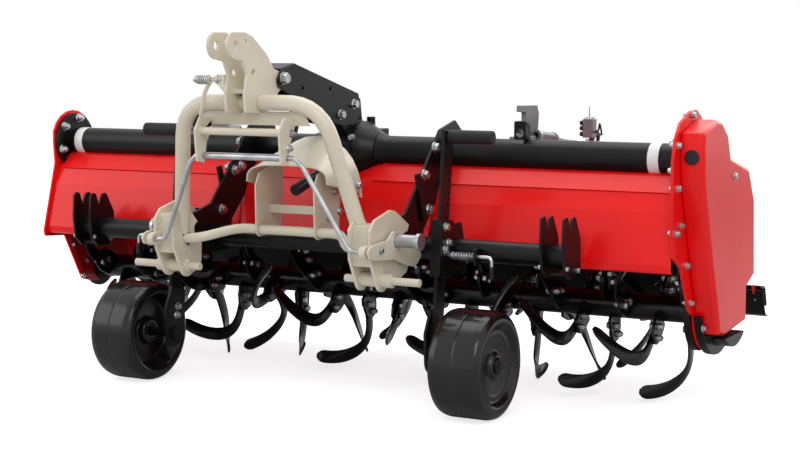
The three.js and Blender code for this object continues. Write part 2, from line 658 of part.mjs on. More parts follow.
// ---------------------------------------------------------------- quick-hitch frame

const archY = (z) => ARCH.y - ARCH.lean * (z - 500);
const archX = (z) => ARCH.half - ARCH.splay * (z - 500);

function archPath(foot) {
  const corner = [archX(ARCH.topZ), archY(ARCH.topZ), ARCH.topZ];
  const toe = [archX(foot), archY(foot), foot];
  return legsAndBends([
    [-toe[0], toe[1], toe[2]], [-corner[0], corner[1], corner[2]], corner, toe,
  ], ARCH.corner);
}

const ARCH_FOOT = 545;
const hitchArch = () => bentBar(archPath(ARCH_FOOT), 44, ARCH.radius, 14);

/** The space round the arch that the pieces on it keep clear. */
const archClearance = () => bentBar(archPath(ARCH_FOOT), 44, ARCH.radius + GAP, 14);
const archLeg = (z) => [archX(z), archY(z), z];
const archLegClearance = () => bar(archLeg(700), archLeg(480), ARCH.radius + 2, 12);

function topBracket() {
  const cheek = [
    ...arc(-752, 1150, 42, 250, 110, 6), [-700, 1190], [-662, 1178], [-585, 1125], [-545, 1078], [-520, 1072],
    [-462, 1062], [-456, 1030], [-520, 1006], [-548, 960], [-600, 940], [-700, 946], [-706, 1000],
    [-692, 1062],
    [-712, 1102],
  ];
  const saddle = box(-30, 30, -668, -560, 1003, 1015);
  const body = join(plateX(cheek, 30, 40), plateX(cheek, -40, -30), saddle);
  const places = [[-753, 1150, 13], [-700, 1160, 8], [-658, 1068, 11]];
  const holes = places.map(([y, z, radius]) => barX(-60, 60, y, z, radius, 14));
  return cut(body, archClearance(), ...holes);
}

function releaseFrame() {
  const bridge = plateY([[-212, 905], [212, 905], [186, 948], [-186, 948]], -612, -604);
  const notches = [-35, 35].map((x) => box(x - 6, x + 6, -620, -600, 939, 960));
  const rod = barX(-200, 200, RELEASE.y, RELEASE.z, 9, 12);
  const crossBar = barX(-156, 156, -670, 886, 12, 14);
  const arm = [[-690, 792], [-652, 786], [-638, 850], [-602, 905], [-602, 925], [-670, 932], [-700, 890]];
  const arms = [-156, 156].map((x) => plateX(arm, x - 4, x + 4));
  return cut(join(bridge, crossBar, ...arms), archClearance(), rod, ...notches);
}

const RELEASE = { y: -655, z: 808, half: 197, lowX: 347, lowY: -604, lowZ: 526, end: 384 };

const releasePath = (end) => legsAndBends([
  [-end, RELEASE.lowY, RELEASE.lowZ], [-RELEASE.lowX, RELEASE.lowY, RELEASE.lowZ],
  [-RELEASE.half, RELEASE.y, RELEASE.z], [RELEASE.half, RELEASE.y, RELEASE.z],
  [RELEASE.lowX, RELEASE.lowY, RELEASE.lowZ], [end, RELEASE.lowY, RELEASE.lowZ],
], 22);

function releaseRod() {
  const rod = bentBar(releasePath(RELEASE.end), 30, 8, 8);
  const sleeve = barX(-151.5, 151.5, RELEASE.y, RELEASE.z, 11, 12);
  return join(rod, sleeve);
}

/** Lower hook bracket with its double-ended pin for the tractor's lower link. */
function lowerBracket(side) {
  const outer = [
    ...arc(LOWER_PIN.y, LOWER_PIN.z, 36, 190, 310, 6), [-437, 410], [-357, 441], [-345, 458], [-352, 500],
    [-398, 545], [-388, 561], [-350, 571], [-342, 590], [-430, 640], [-460, 645], [-556, 622], [-586, 590],
    [-584, 500],
  ];
  const inner = [
    ...arc(LOWER_PIN.y, LOWER_PIN.z, 36, 190, 310, 6), [-450, 415], [-434, 440], [-430, 520], [-440, 560],
    [-500, 622], [-556, 622], [-586, 590], [-584, 500],
  ];
  const latch = [
    [-629, 530], [-620, 544], [-594, 551], [-513, 556], [-473, 582], [-436, 578], [-361, 520], [-300, 504],
    [-292, 486], [-319, 463], [-345, 457], [-392, 468], [-463, 492], [-586, 502], [-620, 512],
  ];
  const parts = [
    plateX(outer, 400, 410),
    plateX(inner, 328, 338),
    box(337, 401, -566, -490, 478, 604),
    plateX(latch, 420, 428),
    box(409, 421, -560, -520, 510, 540),
    barX(LOWER_PIN.inner, LOWER_PIN.outer, LOWER_PIN.y, LOWER_PIN.z, LOWER_PIN.radius, 12),
    barX(318, 446, LOWER_PIN.y, LOWER_PIN.z, 22, 12),
    plateX([...arc(RELEASE.lowY, RELEASE.lowZ, 20, 90, 270, 6), [-560, 506], [-560, 548]], 388, 410),
  ];
  const gaps = [
    archLegClearance(),
    barX(320, 520, HITCH_PIN.y, HITCH_PIN.z, HITCH_PIN.radius + 1, 16),
    barX(360, 396, RELEASE.lowY, RELEASE.lowZ, 9.4, 10),
  ];
  return onSide(side, cut(join(...parts), ...gaps));
}

/** Tube across the feet of the arch; its ends bend forward and down to the lower brackets. */
const CROSS = { y: -405, z: 554, radius: 16, end: 327.6, level: 160, footY: -520, footZ: 524 };

function crossTube() {
  const { y, z, end, level, footY, footZ } = CROSS;
  const middle = (x) => new THREE.Vector3(x, y, z);
  const foot = (x) => new THREE.Vector3(x, footY, footZ);
  const path = new THREE.CurvePath();
  path.add(new THREE.CubicBezierCurve3(foot(-end), foot(-245), middle(-240), middle(-level)));
  path.add(new THREE.LineCurve3(middle(-level), middle(level)));
  path.add(new THREE.CubicBezierCurve3(middle(level), middle(240), foot(245), foot(end)));
  return cut(bentBar(path, 30, CROSS.radius, 12), archClearance());
}

/** Shield over the input shaft, a half tube that flattens to the front. */
function ptoShield() {
  const stations = [
    { y: -232, half: 176, top: 856, low: 655, square: 0.95 },
    { y: -310, half: 166, top: 822, low: 690, square: 0.8 },
    { y: -420, half: 156, top: 770, low: 710, square: 0.6 },
  ];
  const steps = 14;
  const rings = stations.map(({ y, half, top, low, square }) => {
    const edge = (inset) => Array.from({ length: steps + 1 }, (_, i) => {
      const angle = Math.PI * (i / steps);
      const c = Math.cos(angle);
      const s = Math.sin(angle);
      return [
        (half - inset) * Math.sign(c) * Math.abs(c) ** square, y,
        low + (top - inset - low) * s ** square,
      ];
    });
    return [...edge(0), ...edge(5).reverse()];
  });
  return solid(loftSheet(rings));
}

/** A closed solid through rings whose ends are thin sheets, capped by strips. */
function loftSheet(rings) {
  const count = rings[0].length;
  const index = [];
  for (let i = 0; i < rings.length - 1; i += 1) {
    for (let k = 0; k < count; k += 1) {
      const a = i * count + k;
      const b = i * count + ((k + 1) % count);
      index.push(a, b, a + count, b, b + count, a + count);
    }
  }
  const last = (rings.length - 1) * count;
  for (let k = 0; k < count / 2 - 1; k += 1) {
    const [a, b, c, d] = [k, k + 1, count - 2 - k, count - 1 - k];
    index.push(a, d, b, b, d, c);
    index.push(last + a, last + b, last + d, last + b, last + c, last + d);
  }
  const geometry = new THREE.BufferGeometry();
  geometry.setAttribute('position', new THREE.BufferAttribute(new Float32Array(rings.flat(2)), 3));
  geometry.setIndex(index);
  return geometry;
}

/** Upright that clamps on the cross tube and holds the shield's flank. */
function shieldBracket(side) {
  const shape = [
    ...arc(CROSS.y, CROSS.z, 24, 180, 290, 6), [-296, 532], [-280, 556], [-268, 700], [-272, 780],
    [-330, 766],
    [-410, 740], [-432, 700],
  ];
  return onSide(side, plateX(shape, 109, 115));
}

function shieldFrame() {
  const strap = box(-110, 110, -348, -342, 604, 632);
  const frame = join(shieldBracket('left'), shieldBracket('right'), strap);
  return cut(frame, barX(-400, 400, CROSS.y, CROSS.z, CROSS.radius + 1.5, 24), shieldClearance());
}

/** The space that the shield takes, a little larger than the shield. */
const shieldClearance = () => join(
  ptoShield().translate([0, 0, 0.6]),
  ptoShield().translate([0, 0, -0.6]),
  ptoShield().translate([0.6, 0, 0]),
  ptoShield().translate([-0.6, 0, 0]),
  ptoShield(),
);

function releaseLever() {
  const path = legsAndBends([
    [-92, -694, 1046], [-118, -694, 1010], [-136, -684, 960], [-151, -672, 934.5],
  ], 16);
  const bolt = barX(-150, -60, -694, 1046, 7, 10);
  const spring = barX(-142, -96, -694, 1046, 12, 12);
  const ear = plateY([[-40.3, 1004], [-40.3, 1062], [-66, 1062], [-98, 1046], [-66, 1030]], -700, -690);
  return join(bentBar(path, 14, 7, 6), bolt, spring, ear);
}

// ---------------------------------------------------------------- assembly

for (const side of SIDES) {
  add(`main_pipe_${side}`, mainPipe(side), black);
  add(`link_plate_${side}`, linkPlate(side), black);
  add(`hitch_pin_${side}`, hitchPin(side), zinc);
}
add('gearbox', gearbox(), black);
add('input_shaft', inputShaft(), black);
add('top_mast', topMast(), black);
add('tool_bar', toolBar(), black);
add('notch_bracket_left', notchBracket(-934), black);
add('notch_bracket_right', notchBracket(889), black);

for (const side of SIDES) {
  add(`post_clamp_${side}`, postClamp(side), black);
  add(`lock_pin_${side}`, lockPin(side), zinc);
  add(`wheel_post_${side}`, wheelPost(side), black);
  add(`post_grip_${side}`, postGrip(side), rubber);
  add(`wheel_${side}`, wheel(side), rubber);
}

add('hood_left', hoodFront(LEFT_END + GAP, -LINK_X - PLATE - GAP), red);
add('hood_center', hoodFront(-LINK_X + GAP, LINK_X - GAP), red);
add('hood_right', hoodFront(LINK_X + PLATE + GAP, RIGHT_END - GAP), red);
add('hood_rear', hoodRear(), red);
add('side_plate_left', sidePlateLeft(), red);
add('side_guard_left', sideGuardLeft(), darkRed);
add('rotor_bearing_left', rotorBearing(), black);
add('chain_case_back', chainCaseBack(), red);
add('chain_case_cover', chainCaseCover(), red);
add('chain_case_guard', chainCaseGuard(), black);
add('rotor_shield_right', rotorShieldRight(), black);

for (let number = 0; number < SECTIONS; number += 1) {
  add(`rotor_section_${number + 1}`, rotorSection(number), blade);
}

add('rear_board', rearBoard(), black);
add('sensor_box', sensorBox(), grey);
for (const side of SIDES) {
  add(`rod_bracket_${side}`, rodBracket(side), grey);
  add(`pressure_rod_${side}`, pressureRod(side), zinc);
  add(`board_extension_${side}`, boardExtension(side), black);
}

add('hitch_arch', hitchArch(), cream);
add('top_bracket', topBracket(), cream);
add('release_frame', releaseFrame(), cream);
add('release_lever', releaseLever(), cream);
add('release_rod', releaseRod(), zinc);
add('lower_bracket_left', lowerBracket('left'), cream);
add('lower_bracket_right', lowerBracket('right'), cream);
add('cross_tube', crossTube(), cream);
add('pto_shield', ptoShield(), cream);
add('shield_frame', shieldFrame(), cream);

// The part's origin is on the floor, under the middle of its bounding box.
const bounds = new THREE.Box3().setFromObject(group);
machine.position.set(-(bounds.min.x + bounds.max.x) / 2, -(bounds.min.y + bounds.max.y) / 2, -bounds.min.z);

export default group;
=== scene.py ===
"""Finishes and fine detail of a tractor-mounted rotary tiller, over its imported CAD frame.

Shapes are worked out in drawing millimetres: x along the rotor, y to the rear and z up, with the main
pipe's axis at y 0. A Datum moves them to the frame's metres.
"""
import json
import logging
import math
from dataclasses import dataclass
from enum import Enum
from typing import Any, Iterable, Sequence

import bmesh
import bpy
import numpy as np
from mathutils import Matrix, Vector

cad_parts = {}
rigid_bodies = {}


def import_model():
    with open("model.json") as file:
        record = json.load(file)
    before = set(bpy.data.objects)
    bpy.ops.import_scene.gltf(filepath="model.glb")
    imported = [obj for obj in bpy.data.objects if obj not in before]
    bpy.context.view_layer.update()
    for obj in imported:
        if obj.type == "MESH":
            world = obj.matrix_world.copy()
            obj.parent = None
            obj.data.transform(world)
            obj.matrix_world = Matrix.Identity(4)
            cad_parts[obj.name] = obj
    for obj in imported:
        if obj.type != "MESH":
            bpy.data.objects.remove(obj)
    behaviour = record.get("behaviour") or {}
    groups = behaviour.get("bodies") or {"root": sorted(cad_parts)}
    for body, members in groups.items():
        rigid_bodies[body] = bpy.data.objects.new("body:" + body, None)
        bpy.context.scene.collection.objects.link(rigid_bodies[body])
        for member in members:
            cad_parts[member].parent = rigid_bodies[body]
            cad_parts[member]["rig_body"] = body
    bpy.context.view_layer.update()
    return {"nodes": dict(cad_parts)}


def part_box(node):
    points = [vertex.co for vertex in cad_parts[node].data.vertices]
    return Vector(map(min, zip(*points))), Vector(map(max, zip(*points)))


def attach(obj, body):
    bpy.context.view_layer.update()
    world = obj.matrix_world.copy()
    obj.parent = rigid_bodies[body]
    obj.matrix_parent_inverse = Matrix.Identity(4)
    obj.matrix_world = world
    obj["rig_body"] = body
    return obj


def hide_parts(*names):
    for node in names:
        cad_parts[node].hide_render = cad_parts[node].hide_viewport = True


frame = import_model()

LOG = logging.getLogger("tiller")
BAR_LEFT_END = -976.5  # of the tool bar, in the drawing
BAR_AXIS = (-250.0, 507.0)  # its y and z
MERGE_DISTANCE = 2e-6  # metres
FLAT_WITHIN = 0.4  # degrees
SHARP_ANGLE = 32.0  # degrees


# ------------------------------------------------------------------------------ places


@dataclass(frozen=True)
class Datum:
    """The drawing's origin in the frame, in millimetres."""

    x: float
    y: float
    z: float

    @classmethod
    def from_tool_bar(cls) -> "Datum":
        """Returns the datum that puts the drawing's tool bar on the frame's."""
        low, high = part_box("tool_bar")
        x, y, z = low.x * 1000, (low.y + high.y) * 500, (low.z + high.z) * 500
        return cls(x - BAR_LEFT_END, y - BAR_AXIS[0], z - BAR_AXIS[1])

    def place(self, points: Any) -> np.ndarray:
        """Returns drawing points as frame metres."""
        return (np.asarray(points, float) + (self.x, self.y, self.z)) / 1000


DATUM = Datum.from_tool_bar()


class Facing(Enum):
    """Unit directions that flat parts and fasteners look along."""

    LEFT = (-1.0, 0.0, 0.0)
    RIGHT = (1.0, 0.0, 0.0)
    FRONT = (0.0, -1.0, 0.0)
    REAR = (0.0, 1.0, 0.0)
    UP = (0.0, 0.0, 1.0)
    DOWN = (0.0, 0.0, -1.0)


# ------------------------------------------------------------------------------ shader sheets


def linear(red: int, green: int, blue: int) -> tuple[float, float, float, float]:
    """Returns a display colour of 0 to 255 as a linear shader colour."""

    def channel(value: int) -> float:
        """Returns one display channel as a linear value."""
        share = value / 255
        return share / 12.92 if share <= 0.04045 else ((share + 0.055) / 1.055) ** 2.4

    return channel(red), channel(green), channel(blue), 1.0


class Wire:
    """An output socket that adds Math nodes when it is used in an expression."""

    def __init__(self, sheet: "Sheet", socket: bpy.types.NodeSocket) -> None:
        """Keeps the socket and the sheet it belongs to."""
        self.sheet = sheet
        self.socket = socket

    def _math(self, operation: str, first: Any, second: Any) -> "Wire":
        """Adds one Math node and returns its value."""
        return self.sheet.node("ShaderNodeMath", {"operation": operation}, {0: first, 1: second})

    def __add__(self, other: Any) -> "Wire":
        """Returns this value plus another."""
        return self._math("ADD", self, other)

    def __radd__(self, other: Any) -> "Wire":
        """Returns another value plus this."""
        return self._math("ADD", other, self)

    def __mul__(self, other: Any) -> "Wire":
        """Returns this value times another."""
        return self._math("MULTIPLY", self, other)

    def __rmul__(self, other: Any) -> "Wire":
        """Returns another value times this."""
        return self._math("MULTIPLY", other, self)

    def ramp(self, low: float, high: float) -> "Wire":
        """Returns 0 below low and 1 above high, with a smooth rise between."""
        return self.sheet.node(
            "ShaderNodeMapRange",
            {"interpolation_type": "SMOOTHSTEP", "clamp": True},
            {"Value": self, "From Min": low, "From Max": high, "To Min": 0.0, "To Max": 1.0},
        )


class Sheet:
    """The node sheet of one material."""

    def __init__(self, name: str) -> None:
        """Starts an empty sheet for a new material."""
        self.material = bpy.data.materials.new(name)
        self.material.use_nodes = True
        self.tree = self.material.node_tree
        self.tree.nodes.clear()

    def node(self, kind: str, settings: dict[str, Any], inputs: dict[Any, Any], output: Any = 0) -> Wire:
        """Adds a node.

        Args:
            kind: The node's type.
            settings: Its own properties, set before its sockets.
            inputs: A value or a wire for each input, by name or number.
            output: The name or number of the output to return.

        Returns:
            The chosen output.
        """
        made = self.tree.nodes.new(kind)
        for key, value in settings.items():
            setattr(made, key, value)
        for key, value in inputs.items():
            if isinstance(value, Wire):
                self.tree.links.new(value.socket, made.inputs[key])
            else:
                made.inputs[key].default_value = value
        return Wire(self, made.outputs[output])

    def place(self) -> Wire:
        """Returns the object coordinates, in metres."""
        return self.node("ShaderNodeTexCoord", {}, {}, "Object")

    def noise(self, scale: float, detail: float = 3.0, stretch: Sequence[float] = (1, 1, 1)) -> Wire:
        """Returns cloudy noise.

        Args:
            scale: Waves in a metre.
            detail: How many finer layers lie on it.
            stretch: Scale along each axis.
        """
        mapped = self.node("ShaderNodeMapping", {}, {"Vector": self.place(), "Scale": tuple(stretch)})
        return self.node("ShaderNodeTexNoise", {}, {"Vector": mapped, "Scale": scale, "Detail": detail})

    def blend(self, amount: Any, first: Any, second: Any) -> Wire:
        """Returns the first colour where the amount is 0 and the second where it is 1."""
        return self.node(
            "ShaderNodeMix", {"data_type": "RGBA"}, {"Factor": amount, 6: first, 7: second}, 2
        )

    def bump(self, height: Wire, depth: float, strength: float) -> Wire:
        """Returns a normal that leans with the height.

        Args:
            height: Height of the surface, 0 to 1.
            depth: Metres between height 0 and 1.
            strength: Share of the effect.
        """
        return self.node(
            "ShaderNodeBump", {}, {"Height": height, "Distance": depth, "Strength": strength}
        )

    def finish(self, **inputs: Any) -> bpy.types.Material:
        """Closes the sheet with a Principled surface that has these inputs and returns the material."""
        titles = {key: key.replace("_", " ").title().replace("Ior", "IOR") for key in inputs}
        names = {titles[key]: value for key, value in inputs.items()}
        shader = self.node("ShaderNodeBsdfPrincipled", {}, names)
        self.node_output(shader)
        return self.material

    def node_output(self, shader: Wire) -> None:
        """Sends a shader to the material's output."""
        output = self.tree.nodes.new("ShaderNodeOutputMaterial")
        self.tree.links.new(shader.socket, output.inputs["Surface"])


@dataclass(frozen=True)
class Paint:
    """Sprayed enamel: orange peel, slow change of tone, and a thin film of dust on what faces up."""

    name: str
    slot: str
    colour: tuple[int, int, int]
    shade: tuple[int, int, int]
    roughness: float = 0.25
    coat: float = 0.6
    peel: float = 0.15
    dust: float = 0.03
    specular: float = 0.3

    def material(self) -> bpy.types.Material:
        """Returns the enamel."""
        sheet = Sheet(self.name)
        cloud = sheet.noise(3.5, 2.0)
        grain = sheet.noise(900.0, 2.0)
        peel = sheet.noise(230.0, 2.0)
        toned = sheet.blend(cloud.ramp(0.3, 0.7), linear(*self.colour), linear(*self.shade))
        normal = sheet.node("ShaderNodeNewGeometry", {}, {}, "Normal")
        upward = sheet.node("ShaderNodeSeparateXYZ", {}, {"Vector": normal}, "Z").ramp(0.35, 1.0)
        film = upward * sheet.noise(14.0, 5.0).ramp(0.35, 0.75) * self.dust
        dusty = sheet.blend(film, toned, linear(196, 186, 172))
        rough = cloud * 0.06 + grain * 0.05 + film * 0.8 + (self.roughness - 0.05)
        return sheet.finish(
            base_color=dusty,
            roughness=rough,
            specular_ior_level=self.specular,
            coat_weight=self.coat,
            coat_roughness=0.06,
            normal=sheet.bump(peel * 0.8 + grain * 0.2, 0.0004, self.peel),
        )


@dataclass(frozen=True)
class Metal:
    """Plated, ground or forged steel, with fine scratches and a patchy tone."""

    name: str
    slot: str
    colour: tuple[int, int, int]
    shade: tuple[int, int, int]
    roughness: float = 0.3
    metallic: float = 1.0
    grain: float = 0.15
    stretch: tuple[float, float, float] = (1.0, 1.0, 1.0)

    def material(self) -> bpy.types.Material:
        """Returns the metal."""
        sheet = Sheet(self.name)
        patches = sheet.noise(22.0, 4.0)
        scratches = sheet.noise(420.0, 3.0, self.stretch)
        toned = sheet.blend(patches.ramp(0.3, 0.7), linear(*self.colour), linear(*self.shade))
        rough = patches * 0.12 + scratches * 0.12 + (self.roughness - 0.1)
        return sheet.finish(
            base_color=toned,
            metallic=self.metallic,
            roughness=rough,
            normal=sheet.bump(scratches, 0.0003, self.grain),
        )


@dataclass(frozen=True)
class Moulded:
    """Moulded rubber or plastic: fine pebbled grain and soft scuffs."""

    name: str
    slot: str
    colour: tuple[int, int, int]
    shade: tuple[int, int, int]
    roughness: float = 0.5
    pebble: float = 0.2
    specular: float = 0.3

    def material(self) -> bpy.types.Material:
        """Returns the moulding's material."""
        sheet = Sheet(self.name)
        scuffs = sheet.noise(9.0, 6.0).ramp(0.45, 0.7)
        pebble = sheet.node(
            "ShaderNodeTexVoronoi", {}, {"Vector": sheet.place(), "Scale": 520.0}, "Distance"
        )
        toned = sheet.blend(scuffs, linear(*self.colour), linear(*self.shade))
        rough = scuffs * 0.1 + pebble * 0.06 + (self.roughness - 0.08)
        return sheet.finish(
            base_color=toned,
            roughness=rough,
            specular_ior_level=self.specular,
            normal=sheet.bump(pebble, 0.0004, self.pebble),
        )


class Finish(Enum):
    """Every finish on the machine."""

    RED = Paint("red_enamel", "red_paint", (240, 12, 14), (234, 6, 8), 0.3, 0.12)
    # Painted shade: a darker copy of the red enamel for the left side guard, which lies in shade; the
    # slot is still called dark red paint.
    DARK_RED = Paint("red_enamel_in_shade", "dark_red_paint", (176, 12, 16), (158, 8, 12), 0.34, 0.4)
    CREAM = Paint("cream_enamel", "cream_paint", (218, 210, 191), (211, 202, 182), 0.34, 0.3)
    BLACK = Paint("black_enamel", "black_paint", (10, 10, 11), (6, 6, 7), 0.36, 0.05, specular=0.22)
    GREY = Paint("grey_enamel", "grey_paint", (120, 121, 123), (108, 109, 111), 0.42, 0.25)
    WHITE = Paint("white_band_enamel", "cream_paint", (236, 236, 234), (226, 226, 224), 0.35, 0.3)
    BLADE = Paint("tine_enamel", "blade_steel", (9, 9, 10), (6, 6, 7), 0.25, 0.12, 0.3, specular=0.28)
    ZINC = Metal("bright_zinc", "zinc_steel", (198, 200, 204), (168, 170, 174), 0.3)
    DARK_STEEL = Metal("oiled_steel", "blade_steel", (92, 92, 94), (70, 70, 72), 0.36)
    RUBBER = Moulded("wheel_tyre", "wheel_rubber", (20, 20, 21), (26, 26, 27), 0.22, 0.04, 0.4)
    GRIP = Moulded("grip_sleeve", "grip_rubber", (24, 24, 25), (32, 32, 33), 0.6, 0.4)
    PLASTIC = Moulded("moulded_connector", "grip_rubber", (22, 22, 24), (30, 30, 32), 0.45, 0.2)

    def material(self) -> bpy.types.Material:
        """Returns this finish's material, made once."""
        return bpy.data.materials.get(self.value.name) or self.value.material()


# ------------------------------------------------------------------------------ shapes


def turned(angles: np.ndarray) -> tuple[np.ndarray, np.ndarray]:
    """Returns the cosine and sine of angles in radians."""
    return np.cos(angles), np.sin(angles)


def basis(direction: Sequence[float]) -> np.ndarray:
    """Returns three rows: two unit vectors across a direction, and the direction."""
    along = np.asarray(direction, float)
    along = along / np.linalg.norm(along)
    spare = np.array([0.0, 0.0, 1.0]) if abs(along[2]) < 0.9 else np.array([0.0, 1.0, 0.0])
    across = np.cross(spare, along)
    across /= np.linalg.norm(across)
    return np.array([across, np.cross(along, across), along])


def carried_frames(path: np.ndarray) -> tuple[np.ndarray, np.ndarray]:
    """Works out two vectors across a path that turn no more than the path does.

    Args:
        path: Points along the path, one a row.

    Returns:
        For each point, two unit vectors square to the path's mean direction there.
    """
    tangent = np.gradient(path, axis=0)
    tangent /= np.linalg.norm(tangent, axis=1, keepdims=True)
    first = basis(tangent[0])[0]
    across = []
    for along in tangent:
        first = first - along * first.dot(along)
        first = first / np.linalg.norm(first)
        across.append(first)
    side = np.array(across)
    return side, np.cross(tangent, side)


def inset(outline: np.ndarray, distance: float) -> np.ndarray:
    """Moves each corner of a closed outline inwards along the mean of its two edges' normals.

    Args:
        outline: The corners, one a row.
        distance: How far the edges move.

    Returns:
        The smaller outline.
    """
    before = outline - np.roll(outline, 1, axis=0)
    after = np.roll(outline, -1, axis=0) - outline
    edges = [np.column_stack([-e[:, 1], e[:, 0]]) for e in (before, after)]
    unit = [e / np.linalg.norm(e, axis=1, keepdims=True) for e in edges]
    mean = unit[0] + unit[1]
    mean /= np.maximum(np.einsum("ij,ij->i", mean, mean)[:, None] / 2, 0.35)
    area = np.sum(outline[:, 0] * np.roll(outline[:, 1], -1) - np.roll(outline[:, 0], -1) * outline[:, 1])
    return outline + mean * distance * (1 if area > 0 else -1)


class Shape:
    """Points and faces of a piece, in drawing millimetres."""

    def __init__(self) -> None:
        """Starts with nothing."""
        self.points: list[np.ndarray] = []
        self.faces: list[tuple[int, ...]] = []
        self.count = 0

    def loft(self, rings: np.ndarray, wrap: bool = False) -> "Shape":
        """Adds quads between neighbouring rings of points.

        Args:
            rings: Points in a rings by points by 3 array; each ring closes on itself.
            wrap: Whether the last ring joins the first; otherwise both ends are capped.

        Returns:
            This shape.
        """
        rows, columns = rings.shape[:2]
        number = np.arange(rows * columns).reshape(rows, columns) + self.count
        lower = number if wrap else number[:-1]
        upper = np.roll(number, -1, axis=0) if wrap else number[1:]
        quads = np.stack([lower, np.roll(lower, -1, 1), np.roll(upper, -1, 1), upper], axis=-1)
        self.faces.extend(map(tuple, quads.reshape(-1, 4).tolist()))
        if not wrap:
            self.faces.append(tuple(number[0, ::-1].tolist()))
            self.faces.append(tuple(number[-1].tolist()))
        self.points.append(rings.reshape(-1, 3))
        self.count += rows * columns
        return self

    def stamp(self, rings: np.ndarray, centres: Any, direction: Sequence[float]) -> "Shape":
        """Adds one copy of a lofted shape at each centre, each turned a little further than the last.

        Args:
            rings: The shape's rings about the origin, along +z.
            centres: Where the copies go, one a row.
            direction: Where the shape's z axis points.

        Returns:
            This shape.
        """
        frames = basis(direction)
        turn = 0.7
        for k, centre in enumerate(np.atleast_2d(np.asarray(centres, float))):
            c, s = math.cos(k * turn), math.sin(k * turn)
            spin = np.array([[c, s, 0], [-s, c, 0], [0, 0, 1]])
            self.loft(rings @ spin @ frames + centre)
        return self

    def tube(self, path: Any, radius: Any, sides: int = 20, wrap: bool = False) -> "Shape":
        """Adds a round bar: a circle of the radius carried along the path.

        Args:
            path: Points along the bar's middle, one a row.
            radius: The radius, or one for each point.
            sides: Faces round the bar.
            wrap: Whether the bar's end joins its start.

        Returns:
            This shape.
        """
        line = np.asarray(path, float)
        size = np.broadcast_to(np.asarray(radius, float), (len(line),))
        one, two = carried_frames(line)
        c, s = turned(np.linspace(0, 2 * np.pi, sides, endpoint=False))
        ring = one[:, None] * c[None, :, None] + two[:, None] * s[None, :, None]
        return self.loft(line[:, None] + ring * size[:, None, None], wrap)

    def lathe(self, profile: Any, centre: Sequence[float], direction: Sequence[float], sides: int = 40,
              wrap: bool = False) -> "Shape":
        """Adds a turned part: a profile swept round the direction.

        Args:
            profile: Rows of radius and distance along.
            centre: Where the distance is 0.
            direction: The axis.
            sides: Faces round the part.
            wrap: Whether the profile closes on itself, as on a ring.

        Returns:
            This shape.
        """
        rows = np.asarray(profile, float)
        c, s = turned(np.linspace(0, 2 * np.pi, sides, endpoint=False))
        rings = np.stack(
            [rows[:, :1] * c, rows[:, :1] * s, np.broadcast_to(rows[:, 1:], (len(rows), sides))], axis=-1
        )
        return self.loft(rings @ basis(direction) + np.asarray(centre, float), wrap)

    def plate(self, outline: Any, low: float, high: float, axis: str = "x", edge: float = 1.0) -> "Shape":
        """Adds a flat plate with softened edges.

        Args:
            outline: Corners in the plate's plane: (y, z) across x, (x, z) across y, (x, y) across z.
            low: One face's place along the axis.
            high: The other face's.
            axis: The axis that the plate is square to.
            edge: Width of the softened edge.

        Returns:
            This shape.
        """
        corners = np.asarray(outline, float)
        small = inset(corners, edge)
        levels = [(small, low), (corners, low + edge), (corners, high - edge), (small, high)]
        column = "xyz".index(axis)
        rings = np.array([np.insert(points, column, level, axis=1) for points, level in levels])
        return self.loft(rings)

    def piece(self, name: str, finish: Finish, body: str, smooth: float = 35.0,
              instead_of: Sequence[str] = ()) -> bpy.types.Object:
        """Turns the shape into a piece of the machine.

        Args:
            name: The piece's name.
            finish: Its finish.
            body: The CAD body it rides on.
            smooth: Degrees between faces up to which shading is smooth.
            instead_of: The CAD nodes it stands for.

        Returns:
            The piece's object.
        """
        mesh = bpy.data.meshes.new(name)
        mesh.from_pydata(DATUM.place(np.concatenate(self.points)).tolist(), [], self.faces)
        made = bpy.data.objects.new(name, mesh)
        bpy.context.scene.collection.objects.link(made)
        dress(made, finish, body, smooth, False)
        if instead_of:
            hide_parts(*instead_of)
        return made


def hexagon(across: float, height: float, washer: float = 0.0, thick: float = 2.5) -> np.ndarray:
    """Makes a hexagon head on a round washer.

    The radius at an angle t is half of across over cos(t less the nearest side's middle), cut by a
    circle at the chamfer.

    Args:
        across: Width across the flats.
        height: Height of the head above its washer.
        washer: The washer's radius, 0 for none.
        thick: The washer's thickness.

    Returns:
        Rings about the origin, along +z.
    """
    t = np.linspace(0, 2 * np.pi, 24, endpoint=False)
    nearest = (t + np.pi / 6) % (np.pi / 3) - np.pi / 6
    flat = across / 2 / np.cos(nearest)
    base = thick if washer else 0.0
    rows: list[tuple[Any, float]] = []
    if washer:
        rows += [(np.full(24, washer), -2.0), (np.full(24, washer), thick - 0.6)]
        rows += [(np.full(24, washer - 0.6), thick)]
    rows += [(flat, base if washer else -2.0), (flat, base + height * 0.82)]
    rows += [(np.minimum(flat, across * 0.5), base + height)]
    c, s = turned(t)
    return np.array([np.column_stack([r * c, r * s, np.full(24, z)]) for r, z in rows])


def nut(across: float, height: float, stud: float, proud: float, washer: float) -> np.ndarray:
    """Makes a nut on a washer, with its stud's end standing proud of it.

    Args:
        across: Width across the nut's flats.
        height: The nut's height.
        stud: The stud's radius.
        proud: How far the stud stands out.
        washer: The washer's radius.

    Returns:
        Rings about the origin, along +z.
    """
    head = hexagon(across, height, washer)
    t = np.linspace(0, 2 * np.pi, 24, endpoint=False)
    c, s = turned(t)
    top = head[-1, 0, 2]
    rows = [(stud, top), (stud, top + proud - 1), (stud - 1, top + proud)]
    return np.concatenate([head, [np.column_stack([r * c, r * s, np.full(24, z)]) for r, z in rows]])


